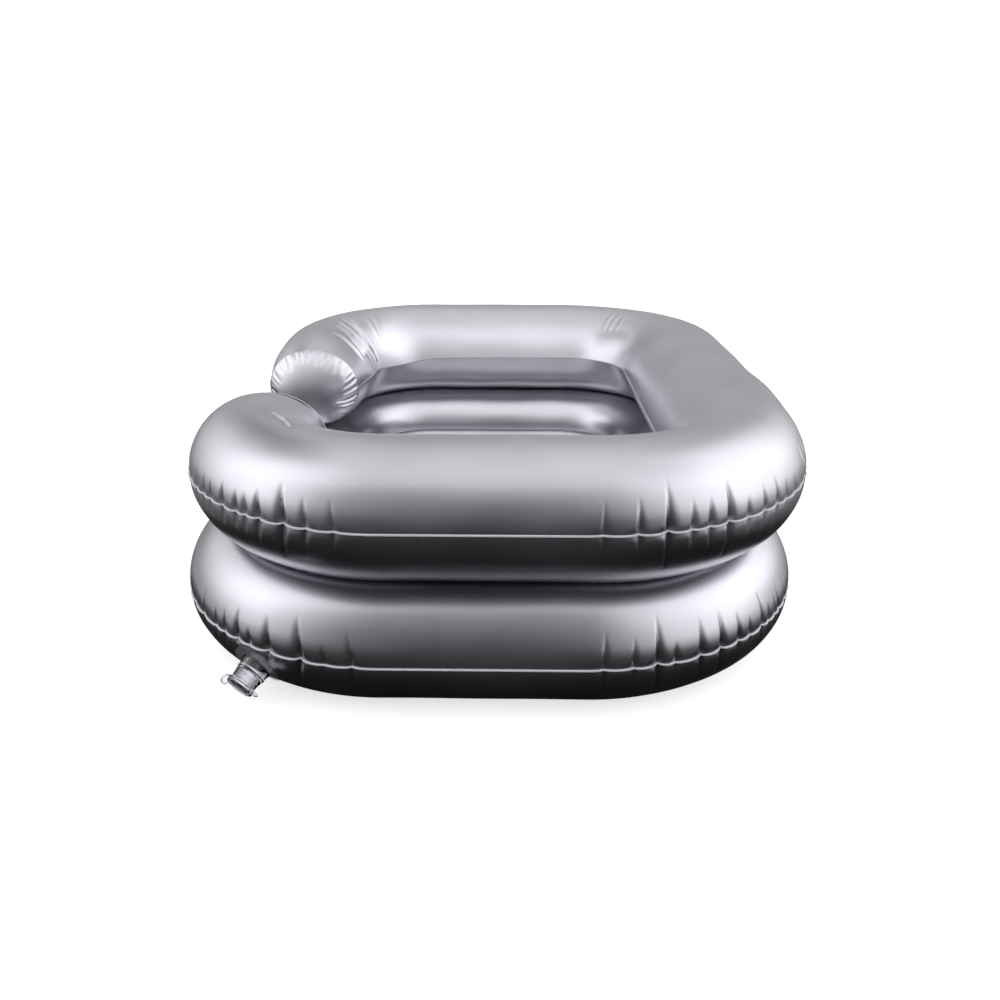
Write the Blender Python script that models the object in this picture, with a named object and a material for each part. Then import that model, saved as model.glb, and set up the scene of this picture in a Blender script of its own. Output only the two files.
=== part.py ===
"""Portable inflatable shampoo basin.

Two air rings of welded sheet lie on each other. The upper one is open at -X, where the neck rests.
A floor sheet closes the lower ring, each ring has an air valve, and the floor has a drain.
Lengths are in metres, +Z is up, and the basin rests on z = 0 about its origin.
"""

import math
from collections import namedtuple

import bmesh
import bpy
from mathutils import Matrix, Vector

# Air rings, as inflated
RING_WIDTH = 0.500
RING_LENGTH = 0.598
RING_CORNER = 0.126
UPPER_INSET = 0.006
UPPER_SHIFT = 0.006
TUBE_RADIUS = 0.0508
TUBE_HALF_HEIGHT = 0.0503
BASE_HALF_HEIGHT = 0.0455
FLOOR_PRESS = 0.0020
RING_PRESS = 0.0022
OUTER_SEAM_RISE = 0.0027
FLOOR_SEAM_RISE = 0.0065

# Sheet and its welds
SHEET = 0.0005
GAP = 0.0003
WELD_EDGE = 0.0035

# Neck gap in the upper ring, and the arms that end at it
FRONT_ARM_END = 0.098
BACK_ARM_END = 0.055
ARM_TAPER = 0.115
ARM_END_WIDTH_SHARE = 0.84
ARM_END_HEIGHT_SHARE = 0.77
TAPER_STEP_SHARES = (0.0, 0.12, 0.3, 0.6, 1.0)
UNPRESSED_RUN = 0.030
CAP_DOME = 0.012
CAP_LIP = 0.002
CAP_RING_SHARES = (0.86, 0.58, 0.25)

# Basin floor
FLOOR_HEIGHT = 0.0205
FLOOR_SLOPE_RUN = 0.034
FLOOR_SLOPE_STEPS = 5

# Air valves, measured along the neck from the ring's skin
VALVE_TURN = math.radians(58.4)
VALVE_SKIN_ANGLE = math.radians(-22)
PATCH_RADIUS = 0.019
PATCH_THICKNESS = 0.0006
NECK_LENGTH = 0.017
NECK_ROOT_RADIUS = 0.0115
NECK_TIP_RADIUS = 0.0093
NECK_BORE_RADIUS = 0.0080
RIM_RADIUS = 0.0105
RIM_HEIGHT = 0.0022
RIM_BEVEL_SHARE = 0.25
NECK_PASSAGE = 0.0006
ROOT_LIP_WIDTH = 0.0025
ROOT_LIP_THICKNESS = 0.0012
ROOT_LIP_DEPTH = 0.0048
FLAP_THICKNESS = 0.0006
FLAP_OVERLAP = 0.0015
FLAP_TAB = 0.0030
PLUG_LENGTH = 0.0110
PLUG_HEAD_RADIUS = 0.0105
PLUG_HEAD_HEIGHT = 0.0016
PLUG_TIP_SHARE = 0.9
PLUG_TAPER_SHARE = 0.6
HEAD_EDGE_SHARE = 0.4
PULL_RING_RADIUS = 0.0030
PULL_RING_WIRE = 0.0009
TETHER_LOOP_RADIUS = 0.0035
TETHER_WIDTH = 0.0030
TETHER_THICKNESS = 0.0008

# Drain in the floor
DRAIN_OFFSET = 0.100
DRAIN_FLANGE_RADIUS = 0.024
DRAIN_FLANGE_THICKNESS = 0.0012
DRAIN_BORE_RADIUS = 0.0070
DRAIN_WALL = 0.0016
DRAIN_LENGTH = 0.0165
DRAIN_RIDGE = 0.0008
DRAIN_RIDGE_SHARES = (0.45, 0.75)
DRAIN_PLUG_LENGTH = 0.0100
DRAIN_HEAD_RADIUS = 0.0120
DRAIN_HEAD_HEIGHT = 0.0020
DRAIN_RING_RADIUS = 0.0060
DRAIN_RING_WIRE = 0.0011
DRAIN_TETHER_LENGTH = 0.034
DRAIN_TETHER_BOW = 0.008
DRAIN_TETHER_WIDTH = 0.0040

PLUG_CLEARANCE = 0.0003
OVERRUN = 0.010
WELD_PARTS = 100

# Steps of round forms
SHARP_ANGLE = math.radians(35)
CORNER_STEPS = 9
SIDE_STEPS = 4
CREST_STEPS = 2
CREST_ANGLE = math.radians(73)
CAP_STEPS = 24
VALVE_STEPS = 20
RING_STEPS = 12
WIRE_STEPS = 6
TETHER_STEPS = 10

Ring = namedtuple(
    "Ring",
    "centre_x half_x half_y corner centre_z over under limit_over limit_under press outer_rise inner_rise inner_gap",
)
Shape = namedtuple("Shape", "width height unpressed")

UP = Vector((0.0, 0.0, 1.0))


def lower_ring():
    return Ring(
        centre_x=0.0,
        half_x=RING_WIDTH / 2 - TUBE_RADIUS,
        half_y=RING_LENGTH / 2 - TUBE_RADIUS,
        corner=RING_CORNER,
        centre_z=BASE_HALF_HEIGHT - FLOOR_PRESS,
        over=TUBE_HALF_HEIGHT,
        under=BASE_HALF_HEIGHT,
        limit_over=TUBE_HALF_HEIGHT - RING_PRESS - GAP / 2,
        limit_under=BASE_HALF_HEIGHT - FLOOR_PRESS,
        press=RING_PRESS,
        outer_rise=OUTER_SEAM_RISE,
        inner_rise=FLOOR_SEAM_RISE,
        inner_gap=SHEET + 2 * GAP,
    )


def upper_ring():
    below = lower_ring()
    return Ring(
        centre_x=below.centre_x + UPPER_SHIFT,
        half_x=below.half_x - UPPER_INSET,
        half_y=below.half_y - UPPER_INSET,
        corner=below.corner - UPPER_INSET,
        centre_z=below.centre_z + 2 * (TUBE_HALF_HEIGHT - RING_PRESS),
        over=TUBE_HALF_HEIGHT,
        under=TUBE_HALF_HEIGHT,
        limit_over=TUBE_HALF_HEIGHT,
        limit_under=TUBE_HALF_HEIGHT - RING_PRESS - GAP / 2,
        press=0.0,
        outer_rise=OUTER_SEAM_RISE,
        inner_rise=0.0,
        inner_gap=GAP,
    )


LOWER = lower_ring()
UPPER = upper_ring()


def clear_scene():
    for obj in list(bpy.data.objects):
        bpy.data.objects.remove(obj, do_unlink=True)


def make_material(name, colour, roughness, transmission=0.0):
    material = bpy.data.materials.new(name)
    material.use_nodes = True
    shader = material.node_tree.nodes["Principled BSDF"]
    shader.inputs["Base Color"].default_value = (*colour, 1.0)
    shader.inputs["Roughness"].default_value = roughness
    shader.inputs["Metallic"].default_value = 0.0
    shader.inputs["Transmission Weight"].default_value = transmission
    return material


def make_object(name, bm, material, placing=None):
    """Turn a bmesh into a smooth-shaded object; placing puts its origin on its joint's axis."""
    mesh = bpy.data.meshes.new(name)
    bmesh.ops.recalc_face_normals(bm, faces=bm.faces)
    bm.to_mesh(mesh)
    bm.free()
    mesh.shade_smooth()
    mesh.set_sharp_from_angle(angle=SHARP_ANGLE)
    mesh.materials.append(material)
    obj = bpy.data.objects.new(name, mesh)
    if placing is not None:
        obj.matrix_world = placing
    bpy.context.scene.collection.objects.link(obj)
    return obj


def boolean(obj, tool, operation):
    """Join or cut with a hidden tool object."""
    tool.hide_render = True
    tool.display_type = "WIRE"
    modifier = obj.modifiers.new(tool.name, "BOOLEAN")
    modifier.operation = operation
    modifier.solver = "EXACT"
    modifier.object = tool


# Centreline of a ring, walked anticlockwise from the middle of its -X side
def path_legs(ring):
    side = ring.half_y - ring.corner
    across = 2 * (ring.half_x - ring.corner)
    turn = ring.corner * math.pi / 2
    return (
        (side, False),
        (turn, True),
        (across, False),
        (turn, True),
        (2 * side, False),
        (turn, True),
        (across, False),
        (turn, True),
        (side, False),
    )


def path_length(ring):
    return sum(length for length, _ in path_legs(ring))


def path_place(ring, along):
    """Point on the centreline, its outward direction and its direction of travel."""
    point = Vector((ring.centre_x - ring.half_x, 0.0, ring.centre_z))
    heading = -math.pi / 2
    for length, turning in path_legs(ring):
        step = min(along, length)
        ahead = Vector((math.cos(heading), math.sin(heading), 0.0))
        if turning:
            centre = point + ring.corner * UP.cross(ahead)
            heading += step / ring.corner
            ahead = Vector((math.cos(heading), math.sin(heading), 0.0))
            point = centre - ring.corner * UP.cross(ahead)
        else:
            point = point + step * ahead
        along -= step
        if along <= 0.0:
            break
    return point, ahead.cross(UP), ahead


def corner_stations(ring):
    """Distances along the centreline where its legs start and its corners step."""
    found = []
    along = 0.0
    for length, turning in path_legs(ring):
        count = CORNER_STEPS if turning else 1
        found += [along + length * i / count for i in range(count)]
        along += length
    return found


def lower_stations():
    total = path_length(LOWER)
    at_gap = (
        FRONT_ARM_END - UNPRESSED_RUN,
        FRONT_ARM_END,
        total - BACK_ARM_END,
        total - BACK_ARM_END + UNPRESSED_RUN,
    )
    return sorted({*corner_stations(LOWER), *at_gap})


def upper_stations():
    start, end = FRONT_ARM_END, path_length(UPPER) - BACK_ARM_END
    tapers = [start + ARM_TAPER * share for share in TAPER_STEP_SHARES]
    tapers += [end - ARM_TAPER * share for share in TAPER_STEP_SHARES]
    between = [s for s in corner_stations(UPPER) if start < s < end]
    return sorted({*tapers, *between})


def lower_shape(along):
    """In the neck gap nothing presses on the lower ring, so its top is round there."""
    from_middle = along if along < path_length(LOWER) / 2 else along - path_length(LOWER)
    depth = min(FRONT_ARM_END - from_middle, from_middle + BACK_ARM_END)
    return Shape(1.0, 1.0, min(max(depth / UNPRESSED_RUN, 0.0), 1.0))


def upper_shape(along):
    """The arms draw in towards their ends at the neck gap."""
    to_end = min(along - FRONT_ARM_END, path_length(UPPER) - BACK_ARM_END - along)
    slack = (1.0 - min(to_end / ARM_TAPER, 1.0)) ** 2
    width = 1.0 - (1.0 - ARM_END_WIDTH_SHARE) * slack
    height = 1.0 - (1.0 - ARM_END_HEIGHT_SHARE) * slack
    return Shape(width, height, 0.0)


# Cross-section of a tube: angles run from the outer side over the top
def section_point(ring, angle, inset, shape):
    """Outward and upward distance from the centreline to the skin, inset by a sheet's thickness."""
    half_height = ring.over if math.sin(angle) >= 0.0 else ring.under
    outward = (TUBE_RADIUS * shape.width - inset) * math.cos(angle)
    upward = (half_height * shape.height - inset) * math.sin(angle)
    highest = ring.limit_over + (ring.press + GAP / 2) * shape.unpressed - inset
    return outward, max(min(upward, highest), inset - ring.limit_under)


def weld_angle(ring, height, inset, shape):
    half_height = ring.over if height >= 0.0 else ring.under
    return math.asin(height / (half_height * shape.height - inset))


def skin_angles(ring, side, start, end):
    """Angles from weld to weld, with a step where the skin turns into the flat that it lies on."""
    half_height = ring.over if side > 0 else ring.under
    limit = ring.limit_over if side > 0 else ring.limit_under
    crest = side * min(math.asin(limit / half_height), CREST_ANGLE)
    turns = (start, crest, side * math.pi - crest, end)
    angles = [start]
    for low, high, steps in zip(turns, turns[1:], (SIDE_STEPS, CREST_STEPS, SIDE_STEPS)):
        angles += [low + (high - low) * i / steps for i in range(1, steps + 1)]
    return angles


def sheet_section(ring, side, shape):
    """Outer and inner chain of points of the top sheet (side 1) or the bottom sheet (side -1)."""
    tip = TUBE_RADIUS * shape.width + WELD_EDGE
    chains = []
    for inset in (0.0, SHEET):
        lift = side * (SHEET - inset)
        outer = ring.outer_rise * shape.height + side * GAP / 2 + lift
        inner = ring.inner_rise * shape.height + side * ring.inner_gap / 2 + lift
        start = weld_angle(ring, outer, inset, shape)
        end = side * math.pi - weld_angle(ring, inner, inset, shape)
        angles = skin_angles(ring, side, start, end)
        skin = [section_point(ring, angle, inset, shape) for angle in angles]
        chains.append([(tip, outer), *skin, (-tip, inner)])
    return chains


def shell_mesh(front, back, closed, filled=False):
    """Closed solid between two equal grids of points. Filled puts a face on each last column."""
    bm = bmesh.new()
    near = [[bm.verts.new(point) for point in row] for row in front]
    far = [[bm.verts.new(point) for point in row] for row in back]
    rows = len(front)
    columns = len(front[0])
    for i in range(rows if closed else rows - 1):
        n = (i + 1) % rows
        for j in range(columns - 1):
            bm.faces.new((near[i][j], near[n][j], near[n][j + 1], near[i][j + 1]))
            bm.faces.new((far[i][j], far[i][j + 1], far[n][j + 1], far[n][j]))
        bm.faces.new((near[i][0], far[i][0], far[n][0], near[n][0]))
        if not filled:
            bm.faces.new((near[i][-1], near[n][-1], far[n][-1], far[i][-1]))
    if filled:
        bm.faces.new([row[-1] for row in near])
        bm.faces.new([row[-1] for row in reversed(far)])
    if not closed:
        for i in (0, -1):
            for j in range(columns - 1):
                bm.faces.new((near[i][j], near[i][j + 1], far[i][j + 1], far[i][j]))
    return bm


def make_ring_sheet(name, ring, side, material):
    """Sheet along the whole lower ring, or along the upper one from arm to arm."""
    closed = ring is LOWER
    stations = lower_stations() if closed else upper_stations()
    front, back = [], []
    for along in stations:
        point, outward, _ = path_place(ring, along)
        shape = lower_shape(along) if closed else upper_shape(along)
        for grid, chain in zip((front, back), sheet_section(ring, side, shape)):
            grid.append([point + outward * h + UP * v for h, v in chain])
    return make_object(name, shell_mesh(front, back, closed), material)


def make_arm_cap(name, along, way, material):
    """Pillowed disc over an arm's end. Way is 1 where the arm's end looks along the path."""
    point, outward, ahead = path_place(UPPER, along)
    shape = upper_shape(along)
    facing = ahead * way
    shares = (1.0 + CAP_LIP / TUBE_RADIUS, *CAP_RING_SHARES)
    front, back = [], []
    for i in range(CAP_STEPS):
        h, v = section_point(UPPER, 2 * math.pi * i / CAP_STEPS, 0.0, shape)
        rim = outward * h + UP * v
        domes = [CAP_DOME * max(1.0 - share**2, 0.0) for share in shares]
        inner = [point + rim * s + facing * (GAP + d) for s, d in zip(shares, domes)]
        back.append(inner)
        front.append([place + facing * SHEET for place in inner])
    return make_object(name, shell_mesh(front, back, closed=True, filled=True), material)


def floor_profile():
    """Inset from the tube's skin and height of the floor sheet's underside, from its weld inwards."""
    rim_height = LOWER.centre_z + LOWER.inner_rise - SHEET / 2
    level = WELD_EDGE + 2 * SHEET
    profile = [(0.0, rim_height), (level, rim_height)]
    for i in range(1, FLOOR_SLOPE_STEPS + 1):
        u = i / FLOOR_SLOPE_STEPS
        eased = u * u * (3 - 2 * u)
        height = rim_height - (rim_height - FLOOR_HEIGHT) * eased
        profile.append((level + FLOOR_SLOPE_RUN * u, height))
    return profile


def make_floor_sheet(material):
    front, back = [], []
    for along in corner_stations(LOWER):
        point, outward, _ = path_place(LOWER, along)
        point.z = 0.0
        row = [point - outward * (TUBE_RADIUS + inset) + UP * z for inset, z in floor_profile()]
        back.append(row)
        front.append([place + UP * SHEET for place in row])
    return make_object("basin_floor_sheet", shell_mesh(front, back, closed=True, filled=True), material)


# Turned, extruded and swept pieces
def spin_round(bm, outline, steps):
    turn = 2 * math.pi
    bmesh.ops.spin(bm, geom=outline, axis=UP, cent=(0, 0, 0), angle=turn, steps=steps, use_merge=True)
    bmesh.ops.remove_doubles(bm, verts=bm.verts, dist=GAP / WELD_PARTS)


def turned_mesh(profile, steps):
    """Revolve a closed outline of (radius, height) points about Z."""
    bm = bmesh.new()
    verts = [bm.verts.new((radius, 0.0, height)) for radius, height in profile]
    edges = [bm.edges.new((verts[i - 1], verts[i])) for i in range(len(verts))]
    spin_round(bm, [*verts, *edges], steps)
    return bm


def ring_mesh(radius, wire, placing):
    """Round ring of round wire about the Z axis of placing."""
    bm = bmesh.new()
    upright = Matrix.Translation((radius, 0.0, 0.0)) @ Matrix.Rotation(math.pi / 2, 4, "X")
    bmesh.ops.create_circle(bm, cap_ends=False, radius=wire, segments=WIRE_STEPS, matrix=upright)
    spin_round(bm, [*bm.verts, *bm.edges], RING_STEPS)
    bmesh.ops.transform(bm, verts=bm.verts, matrix=placing)
    return bm


def strap_mesh(places, across_at, width, thickness):
    """Flat strap along a list of places; across_at turns its direction of travel into its sideways one."""
    front, back = [], []
    for i, place in enumerate(places):
        ahead = (places[min(i + 1, len(places) - 1)] - places[max(i - 1, 0)]).normalized()
        across = across_at(ahead)
        lift = across.cross(ahead) * thickness / 2
        edges = (place - across * width / 2, place + across * width / 2)
        front.append([edge + lift for edge in edges])
        back.append([edge - lift for edge in edges])
    return shell_mesh(front, back, closed=False)


# Air valves: a frame on the ring's skin, with +Z out of the ring and +X along it
Valve = namedtuple("Valve", "name ring way")


def skin_place(valve, turn, angle, offset):
    """Point at a height over the skin of one of the two corners at -X, and the skin's normal there."""
    ring = valve.ring
    half_height = ring.over if angle >= 0.0 else ring.under
    outward = Vector((-math.cos(turn), valve.way * math.sin(turn), 0.0))
    middle = ring.centre_x - ring.half_x + ring.corner
    centre = Vector((middle, valve.way * (ring.half_y - ring.corner), ring.centre_z))
    reach = ring.corner + TUBE_RADIUS * math.cos(angle)
    on_skin = centre + outward * reach + UP * half_height * math.sin(angle)
    normal = (outward * math.cos(angle) / TUBE_RADIUS + UP * math.sin(angle) / half_height).normalized()
    return on_skin + normal * offset, normal


def valve_frame(valve):
    origin, axis = skin_place(valve, VALVE_TURN, VALVE_SKIN_ANGLE, 0.0)
    along_ring = UP.cross(axis).normalized()
    down_skin = axis.cross(along_ring)
    turned = Matrix((along_ring, down_skin, axis)).transposed()
    return Matrix.Translation(origin) @ turned.to_4x4()


def make_valve_patch(valve, material):
    """Thin disc that follows the ring's skin round the neck's passage."""
    arm = valve.ring.corner + TUBE_RADIUS * math.cos(VALVE_SKIN_ANGLE)
    bend = math.hypot(TUBE_RADIUS * math.sin(VALVE_SKIN_ANGLE), valve.ring.under * math.cos(VALVE_SKIN_ANGLE))
    hole = NECK_ROOT_RADIUS + NECK_PASSAGE
    radii = (hole, (hole + PATCH_RADIUS) / 2, PATCH_RADIUS)
    front, back = [], []
    for i in range(VALVE_STEPS):
        around = 2 * math.pi * i / VALVE_STEPS
        for grid, offset in ((back, GAP), (front, GAP + PATCH_THICKNESS)):
            places = []
            for radius in radii:
                turn = VALVE_TURN + radius * math.cos(around) / arm
                angle = VALVE_SKIN_ANGLE + radius * math.sin(around) / bend
                places.append(skin_place(valve, turn, angle, offset)[0])
            grid.append(places)
    return make_object(valve.name + "_patch", shell_mesh(front, back, closed=True), material)


def neck_profile():
    lip = NECK_ROOT_RADIUS + NECK_PASSAGE + ROOT_LIP_WIDTH
    bevel = RIM_HEIGHT * RIM_BEVEL_SHARE
    return (
        (NECK_BORE_RADIUS, -ROOT_LIP_DEPTH - ROOT_LIP_THICKNESS),
        (lip, -ROOT_LIP_DEPTH - ROOT_LIP_THICKNESS),
        (lip, -ROOT_LIP_DEPTH),
        (NECK_ROOT_RADIUS, -ROOT_LIP_DEPTH),
        (NECK_ROOT_RADIUS, 0.0),
        (NECK_TIP_RADIUS, NECK_LENGTH - RIM_HEIGHT),
        (RIM_RADIUS, NECK_LENGTH - RIM_HEIGHT + bevel),
        (RIM_RADIUS, NECK_LENGTH - bevel),
        (RIM_RADIUS - bevel, NECK_LENGTH),
        (NECK_BORE_RADIUS, NECK_LENGTH),
    )


def make_neck(valve, material):
    bm = turned_mesh(neck_profile(), VALVE_STEPS)
    return make_object(valve.name + "_neck", bm, material, valve_frame(valve))


def make_flap(valve, material):
    """Disc under the neck's inner end, with a tab at -Y that its hinge line crosses."""
    radius = NECK_BORE_RADIUS + FLAP_OVERLAP
    top = -ROOT_LIP_DEPTH - ROOT_LIP_THICKNESS - GAP
    tab = FLAP_TAB / 2
    reach = math.asin(tab / radius)
    outline = [(-tab, 0.0), (tab, 0.0)]
    for i in range(VALVE_STEPS + 1):
        around = -math.pi / 2 + reach + (2 * math.pi - 2 * reach) * i / VALVE_STEPS
        outline.append((radius * math.cos(around), flap_reach() + radius * math.sin(around)))
    bm = bmesh.new()
    face = bm.faces.new([bm.verts.new((x, y, -FLAP_THICKNESS)) for x, y in outline])
    lifted = bmesh.ops.extrude_face_region(bm, geom=[face])["geom"]
    raised = [v for v in lifted if isinstance(v, bmesh.types.BMVert)]
    bmesh.ops.translate(bm, verts=raised, vec=UP * FLAP_THICKNESS)
    hinge = valve_frame(valve) @ Matrix.Translation((0.0, -flap_reach(), top))
    return make_object(valve.name + "_flap", bm, material, hinge)


def flap_reach():
    """Distance from the neck's axis to the flap's hinge line."""
    return NECK_BORE_RADIUS + FLAP_OVERLAP + FLAP_TAB / 2


def plug_profile(shaft, length, head, height):
    """Tapered shaft under a head whose upper edge is rounded; the head's underside is at 0."""
    edge = height * HEAD_EDGE_SHARE
    return (
        (0.0, -length),
        (shaft * PLUG_TIP_SHARE, -length),
        (shaft, -length * PLUG_TAPER_SHARE),
        (shaft, 0.0),
        (head, 0.0),
        (head, height - edge),
        (head - edge, height),
        (0.0, height),
    )


def make_plug(valve, material):
    shaft = NECK_BORE_RADIUS - PLUG_CLEARANCE
    profile = plug_profile(shaft, PLUG_LENGTH, PLUG_HEAD_RADIUS, PLUG_HEAD_HEIGHT)
    seat = valve_frame(valve) @ Matrix.Translation((0.0, 0.0, NECK_LENGTH + GAP))
    plug = make_object(valve.name + "_plug", turned_mesh(profile, VALVE_STEPS), material, seat)
    beside = PLUG_HEAD_RADIUS + PULL_RING_RADIUS
    placing = Matrix.Translation((beside, 0.0, PLUG_HEAD_HEIGHT / 2))
    loop = ring_mesh(PULL_RING_RADIUS, PULL_RING_WIRE, placing)
    pull = make_object(plug.name + "_pull_tool", loop, material, seat)
    boolean(plug, pull, "UNION")
    return plug


def make_tether(valve, material):
    """Open loop beside the neck, from its rim to the plug's head."""
    low = NECK_LENGTH - RIM_HEIGHT / 2
    high = NECK_LENGTH + GAP + PLUG_HEAD_HEIGHT / 2
    start = math.asin((high - low) / 2 / TETHER_LOOP_RADIUS)
    nearest = max(RIM_RADIUS, PLUG_HEAD_RADIUS) + GAP + TETHER_THICKNESS
    centre_x = -nearest - TETHER_LOOP_RADIUS * math.cos(start)
    places = []
    for i in range(TETHER_STEPS + 1):
        around = start + (2 * math.pi - 2 * start) * i / TETHER_STEPS
        x = centre_x + TETHER_LOOP_RADIUS * math.cos(around)
        places.append(Vector((x, 0.0, (low + high) / 2 + TETHER_LOOP_RADIUS * math.sin(around))))
    bm = strap_mesh(places, lambda ahead: Vector((0.0, 1.0, 0.0)), TETHER_WIDTH, TETHER_THICKNESS)
    return make_object(valve.name + "_tether", bm, material, valve_frame(valve))


def cut_valve_hole(valve, sheet):
    radius = NECK_ROOT_RADIUS + NECK_PASSAGE
    profile = ((0.0, -OVERRUN), (radius, -OVERRUN), (radius, OVERRUN), (0.0, OVERRUN))
    grey = sheet.data.materials[0]
    tool = make_object(valve.name + "_hole_tool", turned_mesh(profile, VALVE_STEPS), grey, valve_frame(valve))
    boolean(sheet, tool, "DIFFERENCE")


def make_valve(valve, sheet, clear):
    cut_valve_hole(valve, sheet)
    make_valve_patch(valve, clear)
    make_neck(valve, clear)
    make_flap(valve, clear)
    make_plug(valve, clear)
    make_tether(valve, clear)


# Drain
def drain_centre():
    return Vector((0.0, -DRAIN_OFFSET, 0.0))


def outlet_profile():
    """Flange under the floor sheet and a ridged spigot below it, from the flange's face down."""
    wall = DRAIN_BORE_RADIUS + DRAIN_WALL
    profile = [(DRAIN_BORE_RADIUS, 0.0), (DRAIN_BORE_RADIUS, -DRAIN_LENGTH), (wall, -DRAIN_LENGTH)]
    for share in reversed(DRAIN_RIDGE_SHARES):
        height = -DRAIN_LENGTH * share
        profile += [(wall, height - DRAIN_RIDGE), (wall + DRAIN_RIDGE, height), (wall, height)]
    profile += [
        (wall, -DRAIN_FLANGE_THICKNESS),
        (DRAIN_FLANGE_RADIUS, -DRAIN_FLANGE_THICKNESS),
        (DRAIN_FLANGE_RADIUS, 0.0),
    ]
    return profile


def make_drain(floor, clear):
    centre = drain_centre()
    under = Matrix.Translation(centre + UP * (FLOOR_HEIGHT - GAP))
    make_object("drain_outlet", turned_mesh(outlet_profile(), VALVE_STEPS), clear, under)

    radius = DRAIN_BORE_RADIUS
    hole = ((0.0, -OVERRUN), (radius, -OVERRUN), (radius, OVERRUN), (0.0, OVERRUN))
    tool = make_object("drain_hole_tool", turned_mesh(hole, VALVE_STEPS), clear, under)
    boolean(floor, tool, "DIFFERENCE")

    seat = Matrix.Translation(centre + UP * (FLOOR_HEIGHT + SHEET + GAP))
    profile = plug_profile(radius - PLUG_CLEARANCE, DRAIN_PLUG_LENGTH, DRAIN_HEAD_RADIUS, DRAIN_HEAD_HEIGHT)
    plug = make_object("drain_plug", turned_mesh(profile, VALVE_STEPS), clear, seat)
    raised = Matrix.Translation((0.0, 0.0, DRAIN_HEAD_HEIGHT + DRAIN_RING_RADIUS))
    standing = raised @ Matrix.Rotation(math.pi / 2, 4, "X")
    loop = ring_mesh(DRAIN_RING_RADIUS, DRAIN_RING_WIRE, standing)
    pull = make_object("drain_plug_pull_tool", loop, clear, seat)
    boolean(plug, pull, "UNION")
    make_drain_tether(centre, clear)


def make_drain_tether(centre, clear):
    """Strap that lies on the floor sheet in a shallow bow, from the plug's head outwards along +X."""
    height = FLOOR_HEIGHT + SHEET + GAP + TETHER_THICKNESS / 2
    start = DRAIN_HEAD_RADIUS + GAP + DRAIN_TETHER_WIDTH / 2
    places = []
    for i in range(TETHER_STEPS + 1):
        u = i / TETHER_STEPS
        x = start + DRAIN_TETHER_LENGTH * u
        places.append(centre + Vector((x, DRAIN_TETHER_BOW * math.sin(math.pi * u), height)))
    bm = strap_mesh(places, UP.cross, DRAIN_TETHER_WIDTH, TETHER_THICKNESS)
    return make_object("drain_tether", bm, clear)


def build():
    clear_scene()
    grey = make_material("grey_pvc", (0.36, 0.36, 0.39), 0.28)
    clear = make_material("clear_pvc", (0.86, 0.86, 0.88), 0.15, transmission=0.85)

    make_ring_sheet("upper_ring_top_sheet", UPPER, 1, grey)
    upper_bottom = make_ring_sheet("upper_ring_bottom_sheet", UPPER, -1, grey)
    make_arm_cap("front_arm_cap", FRONT_ARM_END, -1, grey)
    make_arm_cap("back_arm_cap", path_length(UPPER) - BACK_ARM_END, 1, grey)

    make_ring_sheet("lower_ring_top_sheet", LOWER, 1, grey)
    lower_bottom = make_ring_sheet("lower_ring_bottom_sheet", LOWER, -1, grey)
    floor = make_floor_sheet(grey)

    make_valve(Valve("lower_valve", LOWER, -1), lower_bottom, clear)
    make_valve(Valve("upper_valve", UPPER, 1), upper_bottom, clear)
    make_drain(floor, clear)


build()
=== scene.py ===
"""Looks of the portable shampoo basin: silver PVC film, weld seams, clear air valves and drain.

Lengths are in metres and +Z is up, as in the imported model.
"""

import math
from collections import namedtuple

import bpy
import numpy as np
from mathutils import Matrix, Vector


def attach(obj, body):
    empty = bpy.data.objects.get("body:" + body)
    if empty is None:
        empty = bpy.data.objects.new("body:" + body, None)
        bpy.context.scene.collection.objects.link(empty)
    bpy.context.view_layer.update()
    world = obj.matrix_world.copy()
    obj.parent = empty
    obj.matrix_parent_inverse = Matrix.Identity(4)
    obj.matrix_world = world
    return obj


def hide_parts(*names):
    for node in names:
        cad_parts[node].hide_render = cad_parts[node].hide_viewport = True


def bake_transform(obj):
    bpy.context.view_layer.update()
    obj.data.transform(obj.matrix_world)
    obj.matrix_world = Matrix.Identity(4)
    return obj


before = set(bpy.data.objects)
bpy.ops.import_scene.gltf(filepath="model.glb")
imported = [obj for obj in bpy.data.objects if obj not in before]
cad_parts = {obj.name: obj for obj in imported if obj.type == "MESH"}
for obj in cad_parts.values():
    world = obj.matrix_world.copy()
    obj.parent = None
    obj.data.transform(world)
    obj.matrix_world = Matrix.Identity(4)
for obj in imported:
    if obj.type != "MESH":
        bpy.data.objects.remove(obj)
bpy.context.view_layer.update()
bpy.ops.object.select_all(action="DESELECT")

UP = Vector((0.0, 0.0, 1.0))

# Air rings, as inflated
TUBE = 0.0508
HALF_HEIGHT = 0.0503
PRESSED = 0.0022
PRESSED_HALF = HALF_HEIGHT - PRESSED - 0.00015
FILM = 0.00045
WELD_WIDTH = 0.0009
WELD_DROOP = 0.0003
WELD_SLIT = 0.00004
INNER_PINCH = 0.0055
PINCH_RUN = 0.34
PRESS_SOFTNESS = 0.0003

# Rows of the films' meshes: each band is an end share of the way over the tube, and a step
TOP_BANDS = (
    (0.2, 0.0019), (0.46, 0.0058), (0.485, 0.0016), (0.575, 0.00085), (0.61, 0.0014), (0.94, 0.0029),
    (1.0, 0.0024),
)
PLAIN_BANDS = ((0.2, 0.0016), (0.45, 0.0040), (0.90, 0.0060), (1.0, 0.0030))
INNER_BANDS = ((0.12, 0.0065), (0.90, 0.032), (1.0, 0.008))

# Distance between the films' columns: on straight runs, at corners, at the open ring's tips, at folds
PLAIN_STEP = 0.0075
CORNER_STEP = 0.0024
TIP_STEP = 0.0025
FOLD_STEP = 0.0009

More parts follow.
